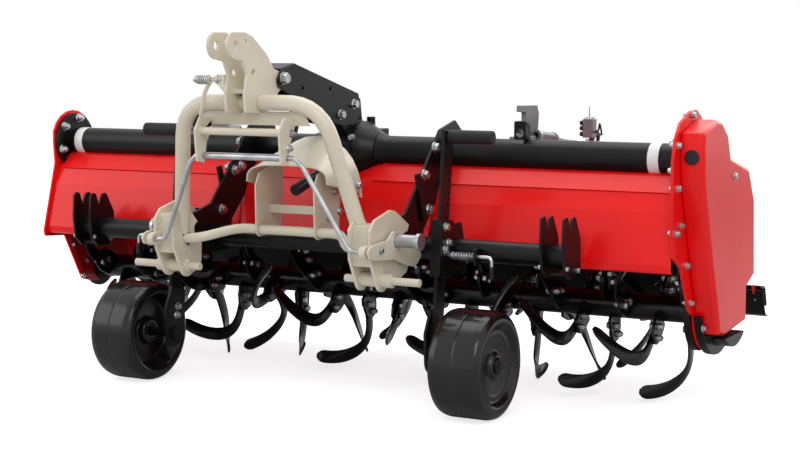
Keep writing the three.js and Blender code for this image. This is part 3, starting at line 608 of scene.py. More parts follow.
def disc(radius: float, height: float, edge: float = 1.0, sides: int = 24) -> np.ndarray:
    """Makes a low round boss with a softened rim.

    Args:
        radius: The boss's radius.
        height: Its height.
        edge: Width of the softened rim.
        sides: Faces round it.

    Returns:
        Rings about the origin, along +z.
    """
    c, s = turned(np.linspace(0, 2 * np.pi, sides, endpoint=False))
    rows = [(radius, -2.0), (radius, height - edge), (radius - edge, height)]
    return np.array([np.column_stack([r * c, r * s, np.full(sides, z)]) for r, z in rows])


def rounded(corners: Sequence[Sequence[float]], radius: float, steps: int = 5) -> np.ndarray:
    """Rounds every corner of an outline.

    Each corner becomes a curve of second degree from a point before it to a point after it, both a
    radius away or a little under half of the edge.

    Args:
        corners: The outline's corners.
        radius: How far from a corner its curve starts.
        steps: Points on each curve.

    Returns:
        The rounded outline.
    """
    points = np.asarray(corners, float)
    before = np.roll(points, 1, axis=0) - points
    after = np.roll(points, -1, axis=0) - points
    reach = [np.linalg.norm(side, axis=1, keepdims=True) for side in (before, after)]
    start = points + before / reach[0] * np.minimum(radius, reach[0] * 0.48)
    end = points + after / reach[1] * np.minimum(radius, reach[1] * 0.48)
    t = np.linspace(0, 1, steps)[None, :, None]
    curve = (1 - t) ** 2 * start[:, None] + 2 * t * (1 - t) * points[:, None] + t**2 * end[:, None]
    return curve.reshape(-1, 2)


def bent_path(corners: Any, reach: float, steps: int = 9) -> np.ndarray:
    """Makes a path of straight legs joined by bends of second degree.

    Args:
        corners: The path's ends and corners.
        reach: How far from a corner its bend starts.
        steps: Points on each bend.

    Returns:
        Points along the path.
    """
    points = np.asarray(corners, float)
    middle = points[1:-1]
    before = points[:-2] - middle
    after = points[2:] - middle
    start = middle + before / np.linalg.norm(before, axis=1, keepdims=True) * reach
    end = middle + after / np.linalg.norm(after, axis=1, keepdims=True) * reach
    t = np.linspace(0, 1, steps)[None, :, None]
    bends = (1 - t) ** 2 * start[:, None] + 2 * t * (1 - t) * middle[:, None] + t**2 * end[:, None]
    return np.concatenate([points[:1], bends.reshape(-1, 3), points[-1:]])


def cut_corners(line: np.ndarray) -> np.ndarray:
    """Puts two points on every leg of a line, a quarter from its ends, and keeps the line's ends.

    Args:
        line: The line's points, one a row.

    Returns:
        The points of the smoother line.
    """
    first = line[:-1] * 0.75 + line[1:] * 0.25
    second = line[:-1] * 0.25 + line[1:] * 0.75
    inner = np.stack([first, second], axis=1).reshape(-1, line.shape[1])
    return np.concatenate([line[:1], inner, line[-1:]])


def helix(start: Any, end: Any, radius: float, turns: float, steps: int = 26) -> np.ndarray:
    """Makes a helix: a circle's angle grows evenly while its centre moves along a straight axis.

    Args:
        start: The axis's start.
        end: The axis's end.
        radius: The circle's radius.
        turns: How many times it goes round.
        steps: Points in a turn.

    Returns:
        Points along the helix.
    """
    first, last = np.asarray(start, float), np.asarray(end, float)
    t = np.linspace(0, 1, int(turns * steps))[:, None]
    across = basis(last - first)
    c, s = turned(t * 2 * np.pi * turns)
    return first + (last - first) * t + radius * (c * across[0] + s * across[1])


def bored_block(half_x: float, half_y: float, bore: float, shift: float, length: float) -> np.ndarray:
    """Makes a square block with a round bore.

    The outside's radius at an angle t is the smaller of half_x over |cos t| and half_y over |sin t|.

    Args:
        half_x: Half the block's width.
        half_y: Half its height.
        bore: The bore's radius.
        shift: How far the bore's middle is from the block's, along the height.
        length: The block's length.

    Returns:
        Rings that wrap: the outside to the back, then the inside to the front.
    """
    edge = 1.5
    t = np.linspace(0, 2 * np.pi, 40, endpoint=False) + np.pi / 40
    c, s = turned(t)
    square = np.minimum(half_x / np.abs(c), half_y / np.abs(s))
    rows = [(square - edge, 0), (square, edge), (square, length - edge), (square - edge, length)]
    outside = [np.column_stack([r * c, r * s, np.full(40, z)]) for r, z in rows]
    inside = [np.column_stack([bore * c, bore * s + shift, np.full(40, z)]) for z in (length, 0)]
    return np.array(outside + inside)


def dress(piece: bpy.types.Object, finish: Finish, body: str, smooth: float,
          merge: bool) -> bpy.types.Object:
    """Gives a piece its normals, shading, finish and body.

    Args:
        piece: The piece's object.
        finish: Its finish.
        body: The CAD body it rides on.
        smooth: Degrees between faces up to which shading is smooth.
        merge: Whether doubled points are merged and flat faces joined first.

    Returns:
        The same object.
    """
    work = bmesh.new()
    work.from_mesh(piece.data)
    if merge:
        bmesh.ops.remove_doubles(work, verts=work.verts, dist=MERGE_DISTANCE)
        flat = math.radians(FLAT_WITHIN)
        bmesh.ops.dissolve_limit(
            work, angle_limit=flat, verts=work.verts, edges=work.edges, delimit={"NORMAL"}
        )
    bmesh.ops.recalc_face_normals(work, faces=work.faces)
    work.to_mesh(piece.data)
    work.free()
    piece.data.shade_smooth()
    if smooth:
        piece.data.set_sharp_from_angle(angle=math.radians(smooth))
    piece.data.materials.clear()
    piece.data.materials.append(finish.material())
    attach(piece, body)
    LOG.info("%s rides on %s", piece.name, body)
    return piece


def soften(piece: bpy.types.Object, width: float, segments: int) -> None:
    """Rounds a piece's edges that bend by more than the sharp angle.

    Args:
        piece: The piece's object.
        width: The rounding's width in millimetres.
        segments: Faces across it.
    """
    edge = piece.modifiers.new("softened_edges", "BEVEL")
    edge.width = width / 1000
    edge.segments = segments
    edge.limit_method = "ANGLE"
    edge.angle_limit = math.radians(SHARP_ANGLE)
    edge.use_clamp_overlap = False
    edge.harden_normals = True


def mark_folds(piece: bpy.types.Object, crease: float) -> None:
    """Makes shading break at the folds of a sheet.

    Args:
        piece: The piece's object.
        crease: Degrees of bend from which a fold shows, up to the sharp angle.
    """
    work = bmesh.new()
    work.from_mesh(piece.data)
    for line in work.edges:
        bend = math.degrees(line.calc_face_angle(0.0))
        line.smooth = not crease < bend < SHARP_ANGLE
    work.to_mesh(piece.data)
    work.free()


def from_cad(node: str, finish: Finish, edge: float = 1.2, segments: int = 2,
             crease: float = 0.0) -> bpy.types.Object:
    """Makes a piece that stands for a CAD node, with the same shape and softened edges.

    Args:
        node: The CAD node's name.
        finish: The piece's finish.
        edge: Width of the softened edges in millimetres, 0 for none.
        segments: Faces across each softened edge.
        crease: Degrees of bend from which a fold in sheet metal shows as a line, 0 for none.

    Returns:
        The piece's object.
    """
    source = frame["nodes"][node]
    piece = bpy.data.objects.new(f"{node}_finished", source.data.copy())
    bpy.context.scene.collection.objects.link(piece)
    if piece.data.has_custom_normals:
        piece.data.attributes.remove(piece.data.attributes["custom_normal"])
    dress(piece, finish, source["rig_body"], 0.0 if edge else 35.0, True)
    if crease:
        mark_folds(piece, crease)
    if edge:
        soften(piece, edge, segments)
    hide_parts(node)
    return piece


def each_side(names: Iterable[str]) -> list[str]:
    """Returns every name with _left and with _right."""
    return [f"{name}_{side}" for name in names for side in ("left", "right")]


# ------------------------------------------------------------------------------ sub-assemblies


@dataclass
class MainBeam:
    """The two main pipes, the gearbox between them, its input shaft and the mast above it."""

    pipe_height: float = 799.0
    pipe_radius: float = 50.0
    bands: tuple[float, float] = (-1191.0, 1089.0)
    band_width: float = 36.0
    bolt_circle: float = 87.0
    left_end: float = -1223.0
    right_end: float = 1194.0

    def build(self) -> None:
        """Makes the beam."""
        for name in each_side(["main_pipe"]):
            from_cad(name, Finish.BLACK, 1.5)
        from_cad("gearbox", Finish.BLACK, 3.0, 3)
        from_cad("input_shaft", Finish.BLACK, 0.8)
        from_cad("top_mast", Finish.BLACK, 2.0)
        self.make_bands()
        self.make_fasteners()
        self.make_splines()

    def make_bands(self) -> None:
        """Makes the white bands round the pipe ends."""
        shape = Shape()
        outer = self.pipe_radius + 0.9
        width = self.band_width
        profile = [(self.pipe_radius - 1, 0), (outer - 0.4, 0), (outer, 1), (outer, width - 1),
                   (outer - 0.4, width), (self.pipe_radius - 1, width)]
        for start in self.bands:
            shape.lathe(profile, (start, 0, self.pipe_height), Facing.RIGHT.value, 56, wrap=True)
        shape.piece("pipe_bands", Finish.WHITE, "frame")

    def make_fasteners(self) -> None:
        """Makes the flange bolts, the gearbox screws and the mast's bolts."""
        shape = Shape()
        angles = np.radians(20 + 60 * np.arange(6))
        c, s = turned(angles)
        for x, facing in ((self.left_end, Facing.RIGHT), (self.right_end, Facing.LEFT)):
            centres = np.column_stack(
                [np.full(6, x), self.bolt_circle * c, self.pipe_height + self.bolt_circle * s]
            )
            shape.stamp(nut(24, 13, 8, 9, 16), centres, facing.value)
        covers = [(50, -87, 845), (-50, -87, 845), (50, -91, 760), (-50, -91, 760)]
        shape.stamp(hexagon(17, 9, 12), covers, Facing.FRONT.value)
        mast = [(48, -158, 924), (48, -70, 957)]
        shape.stamp(hexagon(24, 13, 17), mast, Facing.RIGHT.value)
        shape.stamp(hexagon(30, 16, 20, 4), [(48, -507, 1049)], Facing.RIGHT.value)
        shape.piece("beam_bolts", Finish.ZINC, "frame")

    def make_splines(self) -> None:
        """Makes the splined end of the input shaft: teeth are raised cosines round the shaft."""
        t = np.linspace(0, 2 * np.pi, 96, endpoint=False)
        radius = 17.2 + 2.1 * np.clip(np.cos(t * 12) * 3, -1, 1)
        base = np.array((0.0, -367.0, 683.0))
        top = np.array((0.0, -105.0, 760.0))
        along = (top - base) / np.linalg.norm(top - base)
        c, s = turned(t)
        steps = [(1.5, 0.90), (3.5, 1.0), (26.0, 1.0), (28.0, 0.8), (34.0, 0.8), (36.0, 1.0), (76.0, 1.0)]
        rings = np.array([
            np.column_stack([radius * share * c, radius * share * s, np.full(96, distance)])
            for distance, share in steps
        ])
        Shape().loft(rings @ basis(along) + base).piece("input_splines", Finish.DARK_STEEL, "input_shaft")


@dataclass
class HitchPlates:
    """The two black link plates, the tool bar with its notched brackets, and the hitch pins."""

    plate_face: float = 382.0
    bracket_centres: tuple[float, float] = (-934.0, 889.0)

    def build(self) -> None:
        """Makes the plates."""
        for name in each_side(["link_plate", "notch_bracket"]):
            from_cad(name, Finish.BLACK, 1.6)
        from_cad("tool_bar", Finish.BLACK, 2.0)
        for name in each_side(["hitch_pin"]):
            from_cad(name, Finish.ZINC, 1.5)
        self.make_fasteners()
        self.make_struts()

    def make_fasteners(self) -> None:
        """Makes the bolts through the plates and the notched brackets."""
        shape = Shape()
        right = [(-115, 821), (-4, 815), (-187, 736), (43, 728), (-158, 622)]
        left = [(-135, 737), (-100, 617), (-175, 725), (-252, 595)]
        head = hexagon(24, 13, 18)
        shape.stamp(head, [(self.plate_face, y, z) for y, z in right], Facing.RIGHT.value)
        shape.stamp(head, [(-372, y, z) for y, z in left], Facing.RIGHT.value)
        shape.stamp(head, [(-382, y, z) for y, z in right], Facing.LEFT.value)
        for x in self.bracket_centres:
            small = [(-302, 476), (-214, 462)]
            shape.stamp(hexagon(13, 6, 8), [(x + 41.5, y, z) for y, z in small], Facing.RIGHT.value)
            shape.stamp(hexagon(13, 6, 8), [(x - 41.5, y, z) for y, z in small], Facing.LEFT.value)
        shape.piece("plate_bolts", Finish.ZINC, "frame")

    def make_struts(self) -> None:
        """Makes the dark strut bars that stiffen the link plates' front edges."""
        shape = Shape()
        outline = rounded([(-258, 742), (-234, 746), (-186, 590), (-210, 584)], 6)
        shape.plate(outline, 381.5, 392.0)
        shape.plate(outline, -392.0, -381.5)
        shape.piece("plate_struts", Finish.BLACK, "frame")


@dataclass
class GaugeWheels:
    """Both gauge wheels with their posts, clamps, grips and spring-loaded lock pins."""

    centre: float = 652.0
    axle_y: float = -360.0
    radius: float = 170.0
    width: float = 176.0
    tread_seam: float = 1.4
    pin_y: float = -312.0
    pin_z: float = 497.0
    pin_start: float = 532.0
    pin_reach: float = 153.0

    def build(self) -> None:
        """Makes the wheels."""
        for name in each_side(["wheel_post", "post_clamp"]):
            from_cad(name, Finish.BLACK, 1.6)
        for name in each_side(["post_grip"]):
            from_cad(name, Finish.GRIP, 4.0, 3)
        for side, sign in (("left", -1), ("right", 1)):
            self.make_wheel(side, sign)
            self.make_lock_pin(side, sign)
        self.make_fasteners()

    def make_wheel(self, side: str, sign: int) -> None:
        """Makes one wheel: a moulded tyre turned about its axle, deep inside and shallow outside.

        Args:
            side: The side's name.
            sign: -1 on the left and 1 on the right.
        """
        half, r, seam = self.width / 2, self.radius, self.tread_seam
        corners = [
            (15, -52), (42, -52), (45, -26), (112, -26), (132, 2 - half), (r - 22, -half),
            (r - 6, 8 - half), (r, 28 - half), (r, -3), (r - seam, 0), (r, 3),
            (r, half - 28), (r - 6, half - 8), (r - 22, half), (128, half - 3),
            (116, half - 16), (104, half - 18), (98, half - 16.5), (92, half - 18.5),
            (48, half - 24), (40, half - 22), (37, half - 11), (15, half - 11),
        ]
        shape = Shape()
        centre = (sign * self.centre, self.axle_y, self.radius)
        shape.lathe(rounded(corners, 7, 4), centre, (sign, 0, 0), 84, wrap=True)
        shape.piece(f"wheel_{side}_tyre", Finish.RUBBER, f"gauge_wheel_{side}", 60, [f"wheel_{side}"])
        cap = Shape()
        middle = [(sign * (self.centre + half - 12), self.axle_y, self.radius)]
        cap.stamp(disc(26, 9, 3.5, 40), middle, (sign, 0, 0))
        cap.stamp(disc(12, 12, 1.5, 32), middle, (sign, 0, 0))
        cap.piece(f"axle_cap_{side}", Finish.BLACK, f"wheel_post_{side}")

    def make_lock_pin(self, side: str, sign: int) -> None:
        """Makes one lock pin: a bent rod, a coil spring, the plate it passes and its handle's sleeve.

        Args:
            side: The side's name.
            sign: -1 on the left and 1 on the right.
        """
        x, y, z = self.pin_start, self.pin_y, self.pin_z
        end = x + self.pin_reach
        rod = Shape()
        path = bent_path([(sign * x, y, z), (sign * end, y, z), (sign * end, y, z - 66)], 16)
        rod.tube(path, 6.0, 18)
        rod.tube(helix((sign * (x + 20), y, z), (sign * (x + 94), y, z), 10.6, 8), 1.8, 8)
        rod.stamp(disc(12, 3, 0.8), [(sign * (x + 17), y, z)], (sign, 0, 0))
        rod.piece(f"lock_pin_{side}_finished", Finish.ZINC, "frame", 35, [f"lock_pin_{side}"])
        plate = Shape()
        outline = rounded([(y - 18, z - 26), (y + 24, z - 26), (y + 24, z + 26), (y - 18, z + 26)], 6)
        ends = sorted((sign * (x + 98), sign * (x + 106)))
        plate.plate(outline, ends[0], ends[1])
        sleeve = [(8.6, 0), (9.4, 1.2), (9.4, 38), (8.6, 39)]
        sleeve = [(6.1, 0), *sleeve, (6.1, 39)]
        plate.lathe(sleeve, (sign * end, y, z - 28), Facing.DOWN.value, 24, wrap=True)
        plate.piece(f"lock_pin_plate_{side}", Finish.BLACK, "frame")

    def make_fasteners(self) -> None:
        """Makes the clamp bolts and the bolts of the posts' feet."""
        shape = Shape()
        places = [(-327, 587), (-307, 535), (-331, 516)]
        shape.stamp(hexagon(19, 11, 14), [(531, y, z) for y, z in places], Facing.RIGHT.value)
        shape.stamp(hexagon(19, 11, 14), [(-531, y, z) for y, z in places], Facing.LEFT.value)
        shape.piece("clamp_bolts", Finish.ZINC, "frame")
        for side, sign in (("left", -1), ("right", 1)):
            foot = Shape()
            places = [(sign * 497, -346, 262), (sign * 497, -352, 232)]
            foot.stamp(hexagon(17, 10, 13), places, (-sign, 0, 0))
            foot.piece(f"post_bolts_{side}", Finish.ZINC, f"wheel_post_{side}")


@dataclass
class Hood:
    """The red hood over the rotor, with its left side plate and guard."""

    strip_line: tuple[tuple[float, float], tuple[float, float]] = ((-40.0, 748.2), (-86.0, 699.9))
    strip_thickness: float = 3.2
    strips: tuple[tuple[float, float], ...] = ((-1221, -386), (-368, -126), (126, 368), (386, 1192))

    def build(self) -> None:
        """Makes the hood."""
        for name in ("hood_left", "hood_center", "hood_right"):
            from_cad(name, Finish.RED, 1.5, crease=8.0)
        for name in ("hood_rear", "side_plate_left"):
            from_cad(name, Finish.RED, 1.5)
        # The left side guard gets the red enamel darkened as painted shade.
        from_cad("side_guard_left", Finish.DARK_RED, 1.0)
        self.make_strips()
        self.make_fasteners()

    def make_strips(self) -> None:
        """Makes the capping strips along the hood's top fold, whose lower lips stand a little proud."""
        shape = Shape()
        (y0, z0), (y1, z1) = self.strip_line
        out = np.array([z1 - z0, y0 - y1]) / math.hypot(y1 - y0, z1 - z0) * self.strip_thickness
        outline = np.array([(y0, z0), (y1, z1), (y1 + out[0], z1 + out[1]), (y0 + out[0], z0 + out[1])])
        for x0, x1 in self.strips:
            shape.plate(outline, x0, x1, "x", 0.7)
        shape.piece("hood_strips", Finish.RED, "frame")

    def make_fasteners(self) -> None:
        """Makes the bolts of the side plate and its guard."""
        shape = Shape()
        shape.stamp(hexagon(17, 9, 13), [(-1237, -101, 583)], Facing.RIGHT.value)
        guard = [(-18, 402), (60, 331), (31, 274)]
        shape.stamp(hexagon(15, 8, 11), [(-1231, y, z) for y, z in guard], Facing.RIGHT.value)
        rear = [(-60, 700), (150, 640), (330, 560), (420, 440), (300, 300)]
        shape.stamp(hexagon(17, 9, 13), [(-1245, y, z) for y, z in rear], Facing.LEFT.value)
        shape.piece("hood_bolts", Finish.ZINC, "frame")


@dataclass
class ChainCase:
    """The chain case on the right, with its pressed cover, foot guard and rotor shield."""

    flange_face: float = 1218.0
    cover_face: float = 1292.0

    def build(self) -> None:
        """Makes the case."""
        from_cad("chain_case_back", Finish.RED, 1.5)
        from_cad("chain_case_cover", Finish.RED, 5.0, 4)
        from_cad("chain_case_guard", Finish.BLACK, 2.0)
        from_cad("rotor_shield_right", Finish.BLACK, 1.0)
        self.make_fasteners()

    def make_fasteners(self) -> None:
        """Makes the row of flange bolts with their nuts, the cover's bolt and its plug."""
        shape = Shape()
        row = [(-6, 938), (-130, 850), (-126, 719), (-90, 604), (-134, 583), (-32, 474), (14, 352)]
        shape.stamp(hexagon(17, 9, 13), [(self.flange_face, y, z) for y, z in row], Facing.RIGHT.value)
        nuts = [(self.flange_face - 10, y, z) for y, z in row]
        shape.stamp(nut(17, 10, 5, 6, 12), nuts, Facing.LEFT.value)
        rear = [(116, 880), (211, 832), (326, 772), (428, 686), (452, 556), (442, 436)]
        shape.stamp(hexagon(17, 9, 13), [(self.flange_face, y, z) for y, z in rear], Facing.RIGHT.value)
        shape.stamp(hexagon(19, 6, 14), [(self.cover_face, 201, 738)], Facing.RIGHT.value)
        shape.stamp(hexagon(17, 9, 13), [(self.flange_face + 27, 56, 268)], Facing.RIGHT.value)
        shape.piece("case_bolts", Finish.ZINC, "frame")
        plug = Shape()
        plug.stamp(disc(23, 7, 2.5, 40), [(1254, -110, 814)], (0.0, -1.0, 0.07))
        plug.piece("case_plug", Finish.PLASTIC, "frame")


@dataclass
class Rotor:
    """The four rotor sections, with a holder and two bolts for each tine."""

    axis_y: float = 160.0
    axis_z: float = 306.0
    tube_left: float = -1213.0
    tube_right: float = 1182.0
    gap: float = 1.0
    sections: int = 4
    stations: int = 7
    turn: float = 65.0
    phase: float = -18.0
    tube: float = 44.0
    shaft: float = 26.0
    shaft_left: float = -1263.0
    shaft_right: float = 1214.0
    tine_width: float = 46.0
    strip: float = 8.0
    tine_line: tuple[tuple[float, float, float], ...] = (
        (20, 0, 0), (120, 1, 0), (190, 6, 2), (231, 14, 16), (259, 26, 48), (274, 37, 86),
        (279.5, 45, 120),
    )
    tip: float = 30.0
    holder_reach: float = 130.0
    holder_thickness: float = 10.0

    def build(self) -> None:
        """Makes the rotor."""
        for number in range(self.sections):
            self.make_section(number)
            self.make_holders(number)
        from_cad("rotor_bearing_left", Finish.BLACK, 2.0)

    def make_section(self, number: int) -> None:
        """Makes one section: the tube, its shaft end if it has one, and the tines."""
        length = (self.tube_right - self.tube_left) / self.sections
        start = self.tube_left + number * length + self.gap / 2
        end = start + length - self.gap
        shape = Shape()
        r = self.tube
        tube = [(r - 3, 0), (r, 3), (r, end - start - 3), (r - 3, end - start)]
        shape.lathe(tube, (start, self.axis_y, self.axis_z), Facing.RIGHT.value, 48)
        ends = {0: (self.shaft_left, start + 2), self.sections - 1: (end - 2, self.shaft_right)}
        if number in ends:
            x0, x1 = ends[number]
            shaft = [(self.shaft - 2, 0), (self.shaft, 2), (self.shaft, x1 - x0)]
            shape.lathe(shaft, (x0, self.axis_y, self.axis_z), Facing.RIGHT.value, 32)
        for x, angle, hand in self.stations_of(number):
            shape.loft(self.tine(x, angle, hand))
        name = f"rotor_section_{number + 1}"
        shape.piece(f"{name}_finished", Finish.BLADE, "rotor", 40, [name])

    def tine(self, x: float, angle: float, hand: int) -> np.ndarray:
        """Works out one tine.

        Its middle line, given as distance from the axis, degrees behind the root and distance aside, has
        its corners cut twice. The strip's section has ground edges, and its width falls to the tip as a
        quarter circle does.

        Args:
            x: The root's place along the rotor.
            angle: The root's angle, in radians.
            hand: The side its blade turns to.

        Returns:
            Rings along the tine.
        """
        line = cut_corners(cut_corners(np.array(self.tine_line, float)))
        back = angle - np.radians(line[:, 1])
        c, s = turned(back)
        raw = np.column_stack(
            [x + hand * line[:, 2], self.axis_y + line[:, 0] * c, self.axis_z + line[:, 0] * s]
        )
        walked = np.concatenate([[0], np.cumsum(np.linalg.norm(np.diff(raw, axis=0), axis=1))])
        left = self.tip * (1 - np.sin(np.linspace(0, np.pi / 2, 7)[1:]))
        steps = np.concatenate([np.linspace(0, walked[-1] - self.tip, 26), walked[-1] - left])
        middle = np.column_stack([np.interp(steps, walked, raw[:, k]) for k in range(3)])
        along = np.gradient(middle, steps, axis=0)
        along /= np.linalg.norm(along, axis=1, keepdims=True)
        flat = hand * (np.array([1.0, 0, 0]) - along * along[:, :1])
        flat /= np.linalg.norm(flat, axis=1, keepdims=True)
        across = np.cross(along, flat)
        share = np.clip((walked[-1] - steps) / self.tip, 0, 1)
        wide = np.maximum(np.sqrt(1 - (1 - share) ** 2), 0.35) * self.tine_width / 2
        thick = self.strip / 2
        section = np.array([
            (-1, -0.3), (-0.78, -1), (0.86, -1), (1, -0.6), (1, 0.6), (0.86, 1), (-0.78, 1), (-1, 0.3),
        ])
        return (
            middle[:, None]
            + across[:, None] * (section[None, :, :1] * wide[:, None, None])
            + flat[:, None] * (section[None, :, 1:] * thick)
        )

    def stations_of(self, number: int) -> list[tuple[float, float, int]]:
        """Lists a section's tines.

        Args:
            number: The section, from 0.

        Returns:
            Each tine's place along x, its root's angle in radians, and the side its blade turns to.
        """
        length = (self.tube_right - self.tube_left) / self.sections
        start = self.tube_left + number * length + self.gap / 2
        step = (length - self.gap) / self.stations
        tines = []
        for i in range(self.stations):
            x = start + (i + 0.65) * step
            angle = math.radians((number * self.stations + i) * self.turn + self.phase)
            for half, hand in ((0.0, 1), (math.pi, -1)):
                near_left = x < self.tube_left + 160
                near_right = x > self.tube_right - 160
                tines.append((x, angle + half, 1 if near_left else -1 if near_right else hand))
        return tines

    def make_holders(self, number: int) -> None:
        """Makes one section's tine holders: a rounded plate beside each tine, and its nuts and bolts."""
        plates = Shape()
        bolts = Shape()
        reach = self.holder_reach
        outline = rounded([(34, -48), (98, -40), (reach, -22), (reach, 22), (98, 40), (34, 48)], 16, 6)
        small = inset(outline, 1.5)
        for x, angle, hand in self.stations_of(number):
            c, s = math.cos(angle), math.sin(angle)
            out = np.array([0, c, s])
            side = np.array([0, -s, c])
            axle = np.array([x, self.axis_y, self.axis_z])
            near = x - hand * self.strip / 2
            far = near - hand * self.holder_thickness
            rings = [
                np.array([near if k < 2 else far, self.axis_y, self.axis_z])
                + points[:, :1] * out + points[:, 1:] * side
                + np.array([(-hand if k == 1 else hand if k == 2 else 0) * 1.5, 0, 0])
                for k, points in enumerate((small, outline, outline, small))
            ]
            plates.loft(np.array(rings))
            for distance, aside in ((74.0, -8.0), (108.0, 8.0)):
                middle = axle + distance * out + aside * side
                head = middle + np.array([hand * self.strip / 2, 0, 0])
                back = middle - np.array([hand * (self.strip / 2 + self.holder_thickness), 0, 0])
                bolts.stamp(hexagon(21, 11), [head], (hand, 0, 0))
                bolts.stamp(nut(19, 11, 6, 5, 13), [back], (-hand, 0, 0))
        plates.piece(f"tine_holders_{number + 1}", Finish.BLADE, "rotor")
        bolts.piece(f"tine_bolts_{number + 1}", Finish.ZINC, "rotor")


@dataclass
class LevellingBoard:
    """The rear board, its folding ends, the pressure rods and their brackets, and the depth sensor."""

    rod: tuple[float, float, float] = (645.0, 150.0, 853.0)
    rod_slope: float = 6.0
    collars: tuple[float, float] = (-44.0, 92.0)
    collar_radius: float = 20.5
    sleeve_radius: float = 16.5

    def build(self) -> None:
        """Makes the board."""
        from_cad("rear_board", Finish.BLACK, 1.2)
        for name in each_side(["board_extension"]):
            from_cad(name, Finish.BLACK, 1.0)
        for name in each_side(["pressure_rod"]):
            from_cad(name, Finish.ZINC, 0.8)
        for name in each_side(["rod_bracket"]):
            from_cad(name, Finish.GREY, 1.5)
        from_cad("sensor_box", Finish.GREY, 2.0)
        self.make_collars()
        self.make_blocks()
        self.make_sensor()
        self.make_levers()

    def make_blocks(self) -> None:
        """Makes the black bored blocks at the front of the rod brackets."""
        shape = Shape()
        block = bored_block(20.5, 30.5, 14.0, -8.3, 41.0)
        for sign in (-1, 1):
            shape.loft(block @ basis(Facing.REAR.value) + (sign * 649, -34.5, 878.5), wrap=True)
        shape.piece("rod_blocks", Finish.BLACK, "frame")

    def make_sensor(self) -> None:
        """Makes the depth sensor's connectors, its lead's arch and the thin rod above it."""
        shape = Shape()
        for z in (853, 873, 891):
            body = [(4, 0), (7.6, 0.5), (7.6, 6), (9.2, 7), (9.2, 15), (8.4, 16)]
            shape.lathe(body, (697, 358, z), Facing.RIGHT.value, 24)
        arch = [(748, 352, 860), (766, 352, 864), (770, 352, 892), (776, 352, 868), (778, 352, 850)]
        shape.tube(bent_path(arch, 7), 3.2, 12)
        shape.piece("sensor_connectors", Finish.PLASTIC, "frame")
        rod = Shape()
        rod.tube([(731, 356, 902), (731, 356, 925), (731, 356, 948)], [2.2, 2.2, 1.6], 12)
        rod.stamp(hexagon(11, 5, 7, 1.5), [(722, 350, 905), (740, 366, 905)], Facing.UP.value)
        rod.piece("sensor_rod", Finish.ZINC, "frame")

    def make_levers(self) -> None:
        """Makes the red latch levers at the board's ends, with their zinc pivots."""
        levers, pivots = Shape(), Shape()
        outline = rounded([(543, 288), (558, 292), (548, 322), (522, 352), (509, 344), (530, 316)], 6)
        for sign in (-1, 1):
            ends = sorted((sign * 1262, sign * 1268))
            levers.plate(outline, ends[0], ends[1])
            pivots.stamp(nut(15, 8, 5, 5, 11), [(sign * 1268, 546, 300)], (sign, 0, 0))
        levers.piece("latch_levers", Finish.RED, "rear_board")
        pivots.piece("latch_pivots", Finish.ZINC, "rear_board")

    def make_collars(self) -> None:
        """Makes the turned collars on the pressure rods' guide sleeves."""
        slope = math.radians(self.rod_slope)
        along = np.array([0.0, math.cos(slope), -math.sin(slope)])
        inner, outer = self.sleeve_radius, self.collar_radius
        profile = [(inner, 0), (outer - 1, 0), (outer, 1), (outer, 9), (outer - 1, 10), (inner, 10)]
        for side, sign in (("left", -1), ("right", 1)):
            start = np.array(self.rod) * (sign, 1, 1)
            shape = Shape()
            for distance in self.collars:
                shape.lathe(profile, start + along * distance, along, 32, wrap=True)
            shape.piece(f"rod_collars_{side}", Finish.ZINC, "frame")


@dataclass
class QuickHitch:
    """The cream quick-hitch frame with its release gear, lower brackets and shaft shield."""

    def build(self) -> None:
        """Makes the hitch."""
        cream = ["hitch_arch", "top_bracket", "release_frame", "release_lever", "cross_tube",
                 "pto_shield", "shield_frame", *each_side(["lower_bracket"])]
        for name in cream:
            from_cad(name, Finish.CREAM, 1.5)
        from_cad("release_rod", Finish.ZINC, 1.0)
        self.make_fasteners()

    def make_fasteners(self) -> None:
        """Makes the hitch's bolts and pivots."""
        shape = Shape()
        shape.stamp(hexagon(17, 9, 13), [(176, -259, 700), (166, -262, 672)], Facing.RIGHT.value)
        cheek = [(115, -309, 680), (115, -280, 614), (115, -347, 598)]
        shape.stamp(hexagon(17, 9, 13), cheek, Facing.RIGHT.value)
        shape.stamp(nut(17, 9, 5, 5, 12), [(160, -636, 883), (160, -652, 838)], Facing.RIGHT.value)
        shape.stamp(hexagon(17, 9, 12), [(-160, -636, 883), (-160, -652, 838)], Facing.LEFT.value)
        shape.tube(helix((-140, -694, 1046), (-98, -694, 1046), 13.2, 6), 2.0, 8)
        shape.stamp(nut(19, 9, 6, 6, 14), [(-143, -694, 1046)], Facing.LEFT.value)
        shape.stamp(nut(19, 9, 6, 6, 14), [(-66, -694, 1046)], Facing.RIGHT.value)
        for sign in (-1, 1):
            shape.stamp(hexagon(15, 7, 11), [(sign * 428, -556, 530)], (sign, 0, 0))
        shape.piece("hitch_bolts", Finish.ZINC, "frame")


# ------------------------------------------------------------------------------ studio


